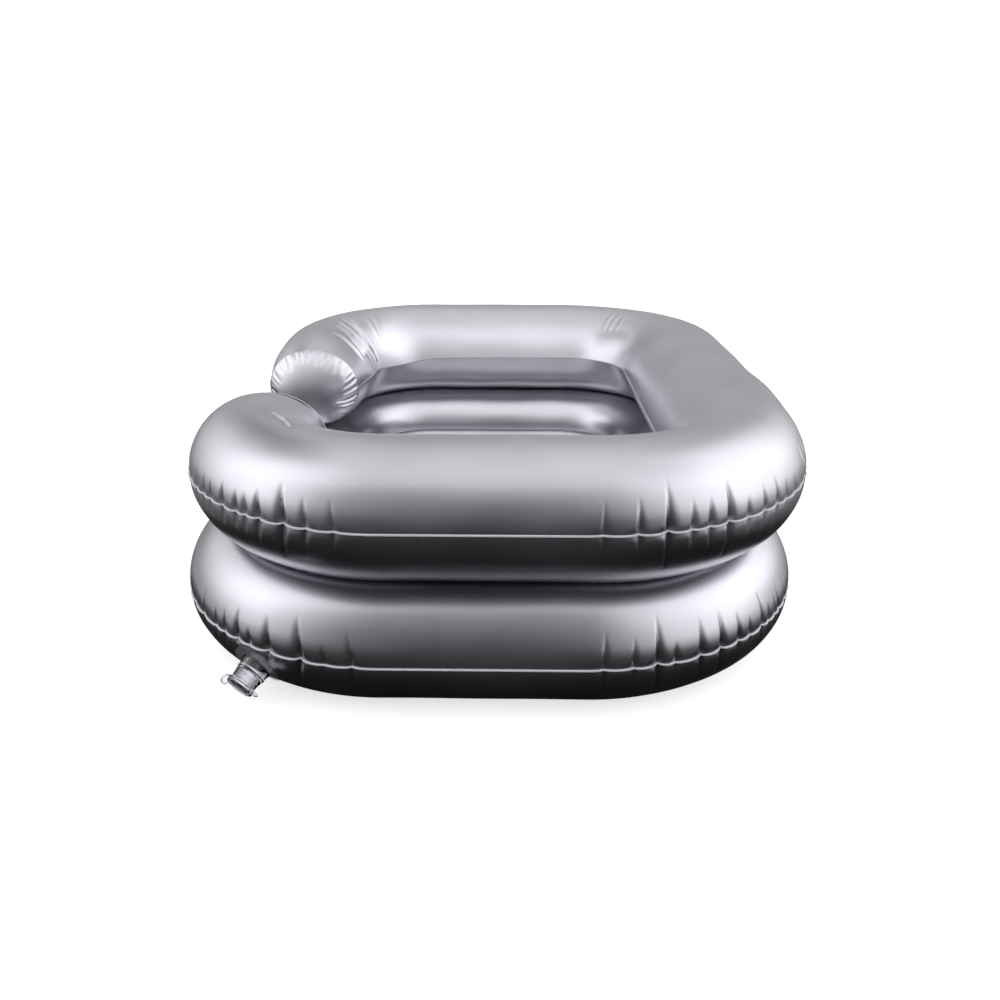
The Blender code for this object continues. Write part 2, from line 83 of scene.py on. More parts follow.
# Arm caps, and the back one's deepest folds: turn round the rim, strength, reach, width
CAP_GAP = 0.0001
CAP_LAP = 0.0016
BACK_CAP_FOLDS = (
    (176, 1.1, 0.36, 0.055), (189, 1.9, 0.52, 0.070), (201, 1.4, 0.42, 0.060), (165, 0.9, 0.30, 0.050),
)

# Valves and drain
VALVE_TURN = math.radians(58.4)
VALVE_ANGLE = math.radians(-22)
PATCH_RADIUS = 0.019
PATCH_THICKNESS = 0.0006
NECK_HOLE = 0.0121
NECK_TOP = 0.0170
PLUG_SEAT = 0.0173
TETHER_LOW = 0.0138
TETHER_HIGH = 0.0202
DRAIN_SPOT = Vector((0.0, -0.100, 0.0))
DRAIN_HOLE = 0.0070
DRAIN_WELD = 0.0215
DRAIN_PLUG_SEAT = 0.0213
STRAP_THICKNESS = 0.0008
FLOOR_HEIGHT = 0.0205
FLOOR_SHEET = 0.0005
FLOOR_LEVEL = 0.0045
FLOOR_SLOPE = 0.034

# Flat sheets that a cap and the floor are cut from: size and area
CAP_FLAT = (0.103, 0.103)
CAP_AREA = 0.0083
FLOOR_FLAT = (0.310, 0.410)
FLOOR_AREA = 0.118

Ring = namedtuple(
    "Ring", "x half_x half_y corner z over under top bottom weld_rise floor_rise inner_gap start end"
)

LOWER = Ring(
    x=0.0, half_x=0.1992, half_y=0.2482, corner=0.126,
    z=0.0435, over=HALF_HEIGHT, under=0.0455, top=PRESSED_HALF, bottom=0.0435,
    weld_rise=0.0027, floor_rise=0.0065, inner_gap=0.0011,
    start=None, end=None,
)
UPPER = Ring(
    x=0.006, half_x=0.1932, half_y=0.2422, corner=0.120,
    z=LOWER.z + 2 * (HALF_HEIGHT - PRESSED), over=HALF_HEIGHT, under=HALF_HEIGHT,
    top=HALF_HEIGHT, bottom=PRESSED_HALF,
    weld_rise=0.0038, floor_rise=0.0, inner_gap=0.0,
    start=0.098, end=0.055,
)

# Gathers of the film at the outer weld: place along the centreline, depth share, length up the tube
UPPER_GATHERS = (
    (0.1832, 0.35, 0.010), (0.1957, 0.40, 0.011), (0.2057, 0.50, 0.012), (0.2137, 0.50, 0.012),
    (0.2250, 0.75, 0.015), (0.2359, 0.60, 0.013), (0.2426, 0.50, 0.014), (0.2510, 0.80, 0.018),
    (0.2651, 1.00, 0.025), (0.2773, 0.45, 0.018), (0.2908, 0.35, 0.019), (0.4530, 0.25, 0.021),
    (0.4702, 0.50, 0.022), (0.4841, 1.00, 0.029), (0.4958, 0.50, 0.018), (0.5052, 0.60, 0.019),
    (0.5163, 1.00, 0.027), (0.5281, 0.45, 0.013), (0.5401, 0.60, 0.017), (0.5512, 0.75, 0.019),
    (0.5605, 0.45, 0.014), (0.5716, 0.40, 0.012), (0.5844, 0.35, 0.012),
)
LOWER_GATHERS = (
    (0.1917, 0.40, 0.014), (0.2071, 0.50, 0.017), (0.2222, 0.40, 0.013), (0.2307, 0.50, 0.016),
    (0.2415, 0.85, 0.021), (0.2507, 0.35, 0.012), (0.2629, 0.95, 0.023), (0.2816, 1.00, 0.027),
    (0.2948, 0.25, 0.012), (0.3087, 0.45, 0.023), (0.4715, 0.35, 0.025), (0.4860, 0.40, 0.020),
    (0.4985, 1.00, 0.031), (0.5076, 0.40, 0.014), (0.5225, 0.80, 0.025), (0.5356, 0.90, 0.027),
    (0.5481, 0.70, 0.021), (0.5571, 0.40, 0.014), (0.5693, 0.85, 0.025), (0.5765, 0.40, 0.014),
    (0.5850, 0.45, 0.018),
)
GATHER_DEPTH = 0.0042
GATHER_WIDTH = 0.0074
GATHER_STRETCH = 1.15
STEEP_FLANK = {-1: 0.85, 1: 0.55}
CUSP_HEIGHT = 0.0012
CUSP_WIDTH = 0.0034
LEAN_SHARE = {-1: 0.14, 1: 0.02}
SWELL = 0.0003

# Wrinkles of the upper ring's top: points of (place along the centreline, angle over the tube), then
# height and width
UPPER_WRINKLES = (
    (((1.3667, 100), (1.3784, 132), (1.3854, 152), (1.3811, 170)), 0.0036, 0.0018),
    (((1.3850, 106), (1.3990, 132), (1.4050, 152), (1.3985, 168)), 0.0026, 0.0017),
    (((1.3992, 108), (1.4178, 132), (1.4237, 152), (1.4162, 167)), 0.0032, 0.0018),
    (((1.4295, 108), (1.4338, 126), (1.4386, 143), (1.4386, 162)), 0.0018, 0.0017),
    (((1.3226, 114), (1.3300, 138), (1.3300, 152)), 0.0007, 0.0026),
    (((1.3354, 114), (1.3420, 132), (1.3450, 150)), 0.0006, 0.0024),
    (((0.1870, 101), (0.2039, 102), (0.2230, 99), (0.2460, 88)), 0.0018, 0.0012),
    (((0.1740, 98), (0.1900, 95), (0.2080, 93)), 0.0007, 0.0010),
    (((0.1690, 93), (0.1850, 91), (0.2000, 91)), 0.0007, 0.0010),
    (((1.0066, 110), (1.0068, 122), (1.0071, 138)), 0.0008, 0.0018),
    (((0.9970, 112), (0.9966, 124), (0.9965, 139)), 0.0008, 0.0018),
    (((0.9869, 114), (0.9842, 126), (0.9821, 139)), 0.0006, 0.0018),
)

# Fuller film of the upper ring's top along its right side: place, half width, height
FULL_PLACES = ((0.700, 0.050, 0.0040), (0.905, 0.075, 0.0036), (0.800, 0.050, 0.0028))

# Top of the front arm's end, a little flat on its inner side
FLAT_DEPTH = 0.0008

# Inner weld of the upper ring, a little lower at its back left corner
INNER_DROOP = (1.315, 0.075, 0.0050)

ARM_TAPER = 0.115
ARM_TIP_TAPER = 0.045
ARM_TIP_SHARE = 0.45
ARM_END_WIDTH = 0.88
ARM_END_HEIGHT = 0.77
ARM_TIP_SHIFT = 0.0040
ARM_TIP_SHIFT_RUN = 0.100
UNPRESSED_RUN = 0.030


# Centreline of a ring, walked anticlockwise from the middle of its -X side
def ring_legs(ring):
    side = ring.half_y - ring.corner
    across = 2 * (ring.half_x - ring.corner)
    turn = ring.corner * math.pi / 2
    bend = (turn, True)
    half_end, wide, whole_end = (side, False), (across, False), (2 * side, False)
    return half_end, bend, wide, bend, whole_end, bend, wide, bend, half_end


def ring_length(ring):
    return sum(length for length, _ in ring_legs(ring))


def col(values):
    return values[:, None]


def side_by_side(*grids):
    return np.concatenate(grids, axis=1)


def unit(values):
    return np.clip(values, 0.0, 1.0)


def bell(values, middle, width):
    return np.exp(-(((values - middle) / width) ** 2))


def ring_places(ring, along):
    """Points on the centreline, as x and y, and its outward direction there."""
    along = np.asarray(along, float)
    x, y, heading = np.zeros_like(along), np.zeros_like(along), np.zeros_like(along)
    px, py, turned, done = ring.x - ring.half_x, 0.0, -math.pi / 2, 0.0
    for length, turning in ring_legs(ring):
        here = (along >= done - 1e-9) & (along <= done + length + 1e-9)
        step = along[here] - done
        if turning:
            cx = px - ring.corner * math.sin(turned)
            cy = py + ring.corner * math.cos(turned)
            angle = turned + step / ring.corner
            x[here] = cx + ring.corner * np.sin(angle)
            y[here] = cy - ring.corner * np.cos(angle)
            heading[here] = angle
            turned += length / ring.corner
            px = cx + ring.corner * math.sin(turned)
            py = cy - ring.corner * math.cos(turned)
        else:
            x[here] = px + step * math.cos(turned)
            y[here] = py + step * math.sin(turned)
            heading[here] = turned
            px += length * math.cos(turned)
            py += length * math.sin(turned)
        done += length
    return x, y, np.sin(heading), -np.cos(heading)


def corner_share(ring, along):
    """1 inside the corners, fading to 0 along the straight runs."""
    along = np.asarray(along, float)
    share = np.zeros_like(along)
    done = 0.0
    for length, turning in ring_legs(ring):
        if turning:
            outside = np.maximum(np.maximum(done - along, along - done - length), 0.0)
            share = np.maximum(share, bell(outside, 0.0, 0.02))
        done += length
    return share


def outer_lengths(ring, along):
    """Distance along the outer weld for each place along the centreline."""
    fine = np.linspace(0.0, ring_length(ring), 4001)
    x, y, nx, ny = ring_places(ring, fine)
    ox, oy = x + nx * TUBE, y + ny * TUBE
    run = np.concatenate([[0.0], np.cumsum(np.hypot(np.diff(ox), np.diff(oy)))])
    return np.interp(along, fine, run)


def ring_ends(ring):
    if ring.start is None:
        return 0.0, ring_length(ring)
    return ring.start, ring_length(ring) - ring.end


def leaning(gathers):
    """Turns each gather's gentle flank towards the middle of the front."""
    middle = ring_length(UPPER) / 4
    return [(*gather, -1 if gather[0] < middle else 1) for gather in gathers]


def hidden_gathers(ring, seen, seed):
    """Gathers at the corners that the shown ones leave out, drawn from a fixed seed."""
    rng = np.random.default_rng(seed)
    start, end = ring_ends(ring)
    shown_from = min(place for place, *_ in seen)
    shown_to = max(place for place, *_ in seen)
    found = []
    at = start + (0.010 if ring.start is not None else 0.0)
    while at < end - 0.008:
        inside = corner_share(ring, np.array([at]))[0]
        if (at < shown_from - 0.006 or at > shown_to + 0.006) and inside > 0.35:
            strength = rng.choice((0.35, 0.5, 0.7, 0.95), p=(0.35, 0.3, 0.2, 0.15)) * (0.5 + 0.5 * inside)
            reach = 0.010 + 0.014 * strength + rng.uniform(0.0, 0.003)
            found.append((at, strength, reach, rng.choice((-1, 1))))
        at += rng.uniform(0.0085, 0.0135)
    return found


def from_ends(ring, along):
    """Distance to the nearer end of the open ring."""
    return np.minimum(along - ring.start, ring_length(ring) - ring.end - along)


def column_places(ring, gathers, wrinkles, count):
    """Places along the centreline for the skin's columns, close together at the gathers and wrinkles."""
    start, end = ring_ends(ring)
    fine = np.linspace(start, end, 12001)
    density = 1 / PLAIN_STEP + (1 / CORNER_STEP - 1 / PLAIN_STEP) * corner_share(ring, fine)
    for place, *_ in gathers:
        density = np.maximum(density, (1 / FOLD_STEP) * np.exp(-(((fine - place) / 0.0042) ** 4)))
    for points, *_ in wrinkles:
        places = [point[0] for point in points]
        near = (fine > min(places) - 0.003) & (fine < max(places) + 0.003)
        density = np.maximum(density, (1 / FOLD_STEP) * near)
    if ring.start is not None:
        for tip in (start, end):
            density = np.maximum(density, (1 / TIP_STEP) * (np.abs(fine - tip) < 0.02))
    total = np.concatenate([[0.0], np.cumsum((density[1:] + density[:-1]) / 2 * np.diff(fine))])
    stops = np.linspace(0.0, total[-1], count, endpoint=ring.start is not None)
    found = np.interp(stops, total, fine)
    for place, *_ in gathers:
        found[np.abs(found - place).argmin()] = place
    return found


def tube_shares(ring, along):
    """Width and height shares of the tube's section, and how far nothing presses on its top."""
    along = np.asarray(along, float)
    length = ring_length(ring)
    if ring.start is None:
        from_middle = np.where(along < length / 2, along, along - length)
        depth = np.minimum(UPPER.start - from_middle, from_middle + UPPER.end)
        ones = np.ones_like(along)
        return ones, ones, unit(depth / UNPRESSED_RUN)
    to_end = from_ends(ring, along)
    slack = (1.0 - ARM_TIP_SHARE) * (1.0 - unit(to_end / ARM_TAPER)) ** 2
    slack += ARM_TIP_SHARE * (1.0 - unit(to_end / ARM_TIP_TAPER)) ** 2
    return 1.0 - (1.0 - ARM_END_WIDTH) * slack, 1.0 - (1.0 - ARM_END_HEIGHT) * slack, np.zeros_like(along)


def tip_shift(ring, along):
    """How far the arms' ends stand in from the ring's own line."""
    if ring.start is None:
        return np.zeros_like(along)
    return ARM_TIP_SHIFT * (1.0 - unit(from_ends(ring, along) / ARM_TIP_SHIFT_RUN)) ** 2


def smooth(values, low, high):
    share = unit((values - low) / (high - low))
    return share * share * (3 - 2 * share)


def soft_min(values, limit):
    """Lower of two values, eased where they meet."""
    k = PRESS_SOFTNESS
    return limit - k * np.logaddexp(0.0, (limit - values) / k)


def half_height(ring, up):
    """Half height of the tube, which differs over and under its centreline."""
    return np.where(up >= 0.0, ring.over, ring.under)


def tube_section(ring, angle, inset, width, height, unpressed):
    """Outward and upward distance of the skin from the centreline."""
    half = half_height(ring, np.sin(angle))
    outward = (TUBE * width - inset) * np.cos(angle)
    upward = (half * height - inset) * np.sin(angle)
    highest = ring.top - inset + (ring.over - ring.top) * unpressed
    if ring.start is not None:
        highest = ring.top - inset + 0.01
    lowest = ring.bottom - inset
    upward = np.where(upward > 0, soft_min(upward, highest), -soft_min(-upward, lowest))
    return outward, upward


def seam_offsets(ring, gathers, along):
    """Signed distance along the outer weld from each gather, with the gather's own numbers."""
    run = outer_lengths(ring, along)
    total = outer_lengths(ring, ring_length(ring))
    for place, strength, reach, lean in gathers:
        off = run - outer_lengths(ring, place)
        if ring.start is None:
            off = off - total * np.round(off / total)
        yield off, strength, reach * GATHER_STRETCH, lean


def seam_shift(ring, gathers, along):
    """How far each gather draws the weld in, and lifts it."""
    inward, lift = 0.0, 0.0
    for off, strength, _, _ in seam_offsets(ring, gathers, along):
        near = strength * np.exp(-np.abs(off) / CUSP_WIDTH)
        inward = np.maximum(inward, 0.75 * GATHER_DEPTH * near)
        lift = np.maximum(lift, CUSP_HEIGHT * near)
    return inward, lift


def gather_depth(ring, gathers, along, climb):
    """Depth of the folds that run up the tube from the weld, sharp in the middle and steep on one flank, with
    the painted shade that darkens each fold most at its crease.
    """
    depth = np.zeros(climb.shape)
    shade = np.zeros(climb.shape)
    for off, strength, reach, lean in seam_offsets(ring, gathers, along):
        fade = unit(1.0 - climb / reach)
        off = off[:, None] - lean * LEAN_SHARE[lean] * climb
        wide = GATHER_WIDTH * (0.45 + 0.55 * strength) * (0.22 + 0.78 * fade)
        flank = np.where(off * lean > 0, 1.0, STEEP_FLANK[lean]) * wide
        blunt = 0.45 * (1.0 - strength) * (1.0 - strength)
        near = np.sqrt((off / flank) ** 2 + blunt**2) - blunt
        cut = unit(1.0 - near) ** 1.5
        depth = np.maximum(depth, GATHER_DEPTH * strength * fade**1.15 * cut)
        # Painted shade: the share by which each fold darkens the film's colour, most at its crease near the
        # weld.
        shade = np.maximum(shade, strength**0.6 * fade**0.9 * cut)
    return depth, shade


def wrinkle_height(ring, wrinkles, along, angle):
    """Height of the wrinkles, each a ridge along a broken line on the tube."""
    height = np.zeros((len(along), angle.shape[1]))
    for points, tall, wide in wrinkles:
        places = np.array([p[0] for p in points])
        turns = np.radians([p[1] for p in points])
        stretch = 1.0 + TUBE * np.cos(turns.mean()) / ring.corner
        chain = np.stack([places * stretch, turns * TUBE], -1)
        spot = np.stack([np.broadcast_to((along * stretch)[:, None], angle.shape), angle * TUBE], -1)
        near = np.full(angle.shape, 1.0)
        share = np.zeros(angle.shape)
        steps = np.linalg.norm(np.diff(chain, axis=0), axis=1)
        done, whole = 0.0, steps.sum()
        for low, high, step in zip(chain, chain[1:], steps):
            t = unit(((spot - low) @ (high - low)) / step**2)
            gap = np.linalg.norm(spot - low - t[..., None] * (high - low), axis=-1)
            closer = gap < near
            near = np.where(closer, gap, near)
            share = np.where(closer, (done + t * step) / whole, share)
            done += step
        taper = np.sin(np.pi * np.clip(share, 0.02, 0.98)) ** 0.45
        ridge = np.exp(-((near / wide) ** 1.5)) - 0.40 * np.exp(-(((near - 2.1 * wide) / (1.1 * wide)) ** 2))
        height += tall * taper * ridge
    return height


def climb_steps(reach, bands):
    """Distances from the weld to the far weld; each band is an end share and a step."""
    found = [0.0]
    for until, step in bands:
        span = until * reach - found[-1]
        count = max(1, round(span / step))
        found += [found[-1] + span * (i + 1) / count for i in range(count)]
    return np.array(found)


def grid_faces(columns, rows, columns_close, rows_close):
    """Quads of a grid, whose last column or row may join its first."""
    a = np.arange(columns if columns_close else columns - 1)[:, None]
    b = np.arange(rows if rows_close else rows - 1)[None, :]
    n, m = (a + 1) % columns, (b + 1) % rows
    corners = np.broadcast_arrays(a * rows + b, n * rows + b, n * rows + m, a * rows + m)
    return np.stack(corners, -1).reshape(-1, 4).tolist()


def mesh_piece(name, verts, faces, masks):
    """New piece with its faces turned outwards, and with the masks that its finish reads."""
    mesh = bpy.data.meshes.new(name)
    mesh.from_pydata(verts, [], faces)
    for key, values in masks.items():
        layer = mesh.attributes.new(key, "FLOAT", "POINT")
        layer.data.foreach_set("value", values.astype(np.float32).ravel())
    piece = bpy.data.objects.new(name, mesh)
    bpy.context.scene.collection.objects.link(piece)
    face_outwards(piece)
    return piece


def skin_mesh(name, outer, inner, closed, masks):
    """Thin closed film between an outer and an inner grid that share their columns' ends."""
    grid = side_by_side(outer, inner[:, ::-1])
    columns, rows = grid.shape[:2]
    faces = grid_faces(columns, rows, closed, True)
    if not closed:
        faces.append(list(range(rows))[::-1])
        faces.append([(columns - 1) * rows + i for i in range(rows)])
    return mesh_piece(name, grid.reshape(-1, 3).tolist(), faces, masks)


def face_outwards(obj):
    bpy.context.view_layer.objects.active = obj
    obj.select_set(True)
    bpy.ops.object.mode_set(mode="EDIT")
    bpy.ops.mesh.select_all(action="SELECT")
    bpy.ops.mesh.normals_make_consistent(inside=False)
    bpy.ops.object.mode_set(mode="OBJECT")
    bpy.ops.object.shade_smooth_by_angle(angle=math.radians(50))
    obj.select_set(False)


def ring_film(name, ring, side, gathers, wrinkles, count):
    """One film of a ring, side 1 over its welds and side -1 under them."""
    along = column_places(ring, gathers, wrinkles, count)
    x, y, nx, ny = ring_places(ring, along)
    width, height_share, unpressed = tube_shares(ring, along)

    inward, lift = seam_shift(ring, gathers, along)
    full = np.zeros_like(along)
    if ring is UPPER and side > 0:
        full = sum(height * bell(along, place, half) for place, half, height in FULL_PLACES)
    pinch, droop = np.zeros_like(along), np.zeros_like(along)
    fade_end, weld_shown = np.ones_like(along), np.ones_like(along)
    if ring.start is not None:
        to_end = from_ends(ring, along)
        fade_end = unit(to_end / 0.010)
        pinch = INNER_PINCH * smooth(to_end, 0.0, 0.060)
        place, half, deep = INNER_DROOP
        droop = deep * bell(along, place, half)
        weld_shown = 0.25 + 0.75 * smooth(to_end, 0.050, 0.120)
    inward, lift = inward * fade_end, lift * fade_end
    x = x + tip_shift(ring, along)

    def chain(inset, steps, fine):
        above_slit = WELD_SLIT / 2 + FILM - inset
        rise = ring.weld_rise * height_share + side * above_slit
        fall = ring.floor_rise * height_share - droop + side * (ring.inner_gap / 2 + above_slit)
        half_rise = half_height(ring, rise) * height_share - inset
        half_fall = half_height(ring, fall) * height_share - inset
        first = np.arcsin(rise / half_rise)
        last = side * math.pi - np.arcsin(fall / half_fall)
        share = steps / steps[-1]
        angle = col(first) + (col(last) - col(first)) * share[None, :]
        climb = np.abs(angle - col(first)) * TUBE
        back = climb.max(axis=1)[:, None] - climb
        out, up = tube_section(ring, angle, inset, col(width), col(height_share), col(unpressed))
        out = out - col(pinch) * np.exp(-np.abs(col(last) - angle) / PINCH_RUN)
        half = half_height(ring, np.sin(angle))
        n_out, n_up = np.cos(angle) / TUBE, np.sin(angle) / half
        size = np.hypot(n_out, n_up)
        n_out, n_up = n_out / size, n_up / size

        depth, shade = gather_depth(ring, gathers, along, climb)
        rooted = smooth(climb, 0.0, 0.0035)
        swell = SWELL * bell(climb, 0.012, 0.007) * col(corner_share(ring, along))
        depth = (depth - swell * (1 - unit(shade * 2))) * col(fade_end)
        if side < 0:
            depth = 0.75 * depth * patch_calm(ring, along, angle)
        push = rooted * depth + (1 - rooted) * col(inward)
        push = push * unit(back / 0.02)
        if fine and wrinkles:
            push = push - wrinkle_height(ring, wrinkles, along, angle)
        push = push - col(full) * np.where(angle < math.pi / 2, np.sin(2 * angle) ** 2, 0.0)
        if ring is UPPER and side > 0:
            flat = smooth(angle, 1.53, 1.75) * smooth(-angle, -2.7, -2.1)
            push = push + FLAT_DEPTH * flat * col(smooth(-along, -0.215, -0.170))
        calm = unit(back / 0.015) * unit(climb / 0.02)
        wave = np.sin(37 * col(along) + 3 * angle) + np.sin(71 * col(along) - 5 * angle + 1.3)
        wave += 0.7 * np.sin(23 * col(along) + 9 * angle + 0.4)
        push = push - 0.00010 * calm * wave
        ease = np.exp(-climb / 0.005)
        out = out - push * n_out
        up = up - push * n_up + ease * col(lift)
        tip = TUBE * width + WELD_WIDTH - inward
        root = out[:, 0]
        weld_out = np.stack([tip, tip * 0.45 + root * 0.55], -1)
        weld_up = np.stack([rise + lift - WELD_DROOP, rise + lift - 0.3 * WELD_DROOP], -1)
        seam_in = TUBE * width + pinch
        seam_out = np.stack([-(seam_in + WELD_WIDTH / 2), -(seam_in + WELD_WIDTH)], -1)
        seam_up = np.repeat(col(fall), 2, axis=1)
        out = side_by_side(weld_out, out, seam_out)
        up = side_by_side(weld_up, up, seam_up)
        points = np.stack([col(x) + col(nx) * out, col(y) + col(ny) * out, ring.z + up], -1)
        weld = np.zeros(out.shape)
        weld[:, :2] = 1.0
        weld[:, -2:] = 0.40 * col(weld_shown)
        # Painted shade: a thin dark line on the film right beside the outer weld.
        weld_root_shade = 0.55 * unit(1.0 - climb / 0.0016)
        # Painted shade where the rings press together: the upper ring's bottom film and the lower ring's top
        # film darken near their contact, mostly along the straight runs.
        turned = np.degrees(np.abs(angle))
        low, high = (62.0, 84.0) if ring.start is None else (48.0, 64.0)
        crevice_shade = smooth(turned, low, high) * (turned < 92.0) * (0.55 if ring.start is not None else 0.35)
        crevice_shade = crevice_shade * col(1.0 - 0.9 * corner_share(ring, along)) * ((side > 0) == (ring.start is None))
        # The fold mask is painted shade: it darkens the film in its folds, beside the outer weld and between
        # the rings.
        fold = np.zeros(out.shape)
        fold[:, 2:-2] = np.maximum(np.maximum(shade, weld_root_shade), crevice_shade)
        return points, weld, fold

    reach = math.pi * TUBE
    bands = TOP_BANDS if wrinkles else PLAIN_BANDS
    outer, weld, fold = chain(0.0, climb_steps(reach, bands), True)
    inner, in_weld, in_fold = chain(FILM, climb_steps(reach, INNER_BANDS), False)
    masks = {
        "weld": side_by_side(weld, in_weld[:, ::-1]),
        "fold": side_by_side(fold, 0 * in_fold[:, ::-1]),
    }
    return skin_mesh(name, outer, inner, ring.start is None, masks)


def patch_calm(ring, along, angle):
    """0 where the valve's patch stiffens the film, 1 away from it."""
    name, way = ("lower_valve", -1) if ring is LOWER else ("upper_valve", 1)
    centre, _ = skin_place(ring, way, VALVE_TURN, VALVE_ANGLE, 0.0)
    x, y, nx, ny = ring_places(ring, along)
    out = TUBE * np.cos(angle)
    half = half_height(ring, np.sin(angle))
    spots = np.stack([col(x) + col(nx) * out, col(y) + col(ny) * out, ring.z + half * np.sin(angle)], -1)
    gap = np.linalg.norm(spots - np.array(centre), axis=-1)
    return unit((gap - PATCH_RADIUS) / 0.008)


def arm_cap(name, along, way, seed, tall, sag, puckered, folds_shown=()):
    """Pillowed disc over an arm's end, lapped over its film and gathered round its weld."""
    rng = np.random.default_rng(seed)
    tip = np.array([along])
    x, y, nx, ny = (v[0] for v in ring_places(UPPER, tip))
    x = x + tip_shift(UPPER, tip)[0]
    width, height, _ = (v[0] for v in tube_shares(UPPER, tip))
    facing = np.array((-ny * way, nx * way, 0.0))
    outward = np.array((nx, ny, 0.0))
    turns = np.linspace(0.0, 2 * math.pi, 361)[:-1]
    out, up = tube_section(UPPER, turns, 0.0, width, height, 0.0)
    rim = np.outer(out, outward) + np.outer(up, (0.0, 0.0, 1.0))

    gathers = []
    at = 0.0
    while at < 2 * math.pi - 0.06:
        gathers.append((at, rng.uniform(0.30, 1.0), rng.uniform(0.14, 0.27), rng.uniform(0.040, 0.070)))
        at += rng.uniform(0.13, 0.25)
    gathers += [(math.radians(turn), strength, reach, wide) for turn, strength, reach, wide in folds_shown]
    laps = np.array([CAP_LAP, CAP_LAP / 2, 0.0])
    shares = np.concatenate([np.ones(len(laps)), np.linspace(1.0, 0.60, 27), np.linspace(0.56, 0.04, 14)])
    fine = np.zeros((len(turns), len(shares)))
    for place, strength, reach, wide in gathers:
        off = np.angle(np.exp(1j * (turns - place)))
        fade = unit((shares - (1.0 - reach)) / reach)
        fine = np.maximum(fine, puckered * strength * np.outer(np.exp(-np.abs(off) / wide), fade**1.2))
    dome = tall * (1.0 - shares**2.6) ** 0.72
    lapped = np.arange(len(shares)) < len(laps)
    feather = np.interp(np.arange(len(shares)), (0, 1, 2), (0.12, 0.75, 1.0))
    grids = []
    for lift in (0.0, FILM):
        depth = CAP_GAP + lift + np.maximum(dome[None, :] * (1.0 - 0.36 * fine) - 0.0010 * fine, 0.0)
        depth[:, lapped] = -laps[None, :]
        wide = np.where(lapped, 1.0 + (CAP_GAP + lift * feather) / TUBE, shares)
        points = rim[:, None, :] * wide[None, :, None] + facing[None, None, :] * depth[..., None]
        points[..., 2] -= sag * (1.0 - shares[None, :] ** 2)
        grids.append(points + np.array((x, y, UPPER.z))[None, None, :])
    back, front = grids
    grid = side_by_side(back[:, ::-1], front)
    columns, rows = grid.shape[:2]
    faces = grid_faces(columns, rows, True, False)
    faces.append([i * rows for i in range(columns)])
    faces.append([i * rows + rows - 1 for i in reversed(range(columns))])
    weld = np.repeat(0.10 * lapped[None, :], columns, axis=0)
    # Painted shade: the fold mask darkens the cap's outer face in its puckers.
    masks = {
        "weld": side_by_side(weld[:, ::-1], weld),
        "fold": side_by_side(0 * fine, 0.3 * fine),
    }
    return mesh_piece(name, grid.reshape(-1, 3).tolist(), faces, masks)


# Basin floor
def floor_sheet(name):
    """Dished floor, welded at its edge, drawn into soft folds round the corners of its slope."""
    ring = LOWER
    along = np.linspace(0.0, ring_length(ring), 513)[:-1]
    x, y, nx, ny = ring_places(ring, along)
    edge = np.stack([x - nx * TUBE, y - ny * TUBE], -1)
    centre = np.array(DRAIN_SPOT[:2])
    toward = centre - edge
    reach = np.linalg.norm(toward, axis=1)
    toward = toward / reach[:, None]
    first = np.concatenate([np.linspace(0.0, 0.048, 33), [0.052, 0.058]])
    rest = np.linspace(0.0, 1.0, 19)[1:] ** 0.9
    far = reach - DRAIN_HOLE
    steps = first[-1] + rest[None, :] * (far[:, None] - first[-1])
    steps = side_by_side(np.repeat(first[None, :], len(along), 0), steps)
    spots = edge[:, None, :] + toward[:, None, :] * steps[..., None]

    straight = np.array((ring.half_x - ring.corner, ring.half_y - ring.corner))
    past = np.abs(spots) - straight
    inside = np.linalg.norm(np.maximum(past, 0.0), axis=-1) + np.minimum(past.max(-1), 0.0)
    inset = np.maximum(ring.corner - TUBE - inside, 0.0)
    u = unit((inset - FLOOR_LEVEL) / FLOOR_SLOPE)
    rim = ring.z + ring.floor_rise - FLOOR_SHEET / 2
    height = rim - (rim - FLOOR_HEIGHT) * smooth(u, 0.0, 1.0)

    corner = corner_share(ring, along)[:, None]
    slope = (4 * u * (1 - u)) ** 0.8
    run = along[:, None]
    fold = np.abs(np.sin(run * 168 + 1.7 * np.sin(run * 31))) ** 0.7 - 0.6
    height = height - 0.0009 * corner * slope * fold
    height = height + 0.0003 * (1 - corner) * slope * np.sin(run * 62)
    level = unit((inset - FLOOR_LEVEL - 0.6 * FLOOR_SLOPE) / 0.03)
    from_drain = np.linalg.norm(spots - centre, axis=-1)
    calm = unit((from_drain - 0.050) / 0.03) * level
    ripple = np.sin(spots[..., 0] * 71 + 2.1 * np.sin(spots[..., 1] * 33)) * np.sin(spots[..., 1] * 57 + 0.6)
    height = height + calm * (0.0004 + 0.0004 * ripple)
    welded = bell(from_drain, DRAIN_WELD, 0.0013)
    height = height + 0.0002 * welded
    mask = unit(1.0 - inset / 0.0020) + 0.35 * welded

    under = np.stack([spots[..., 0], spots[..., 1], height], -1)
    over = under + np.array((0.0, 0.0, FLOOR_SHEET))
    mask = side_by_side(mask, mask[:, ::-1])
    masks = {"weld": mask, "fold": 0 * mask}
    return skin_mesh(name, over, under, True, masks)


# Clear pieces, shaped at the origin and then set in place
def new_shape(name):
    """Shape that was just added, with its place, turn and size applied."""
    shape = bpy.context.active_object
    shape.name = name
    bpy.ops.object.transform_apply(location=True, rotation=True, scale=True)
    return shape


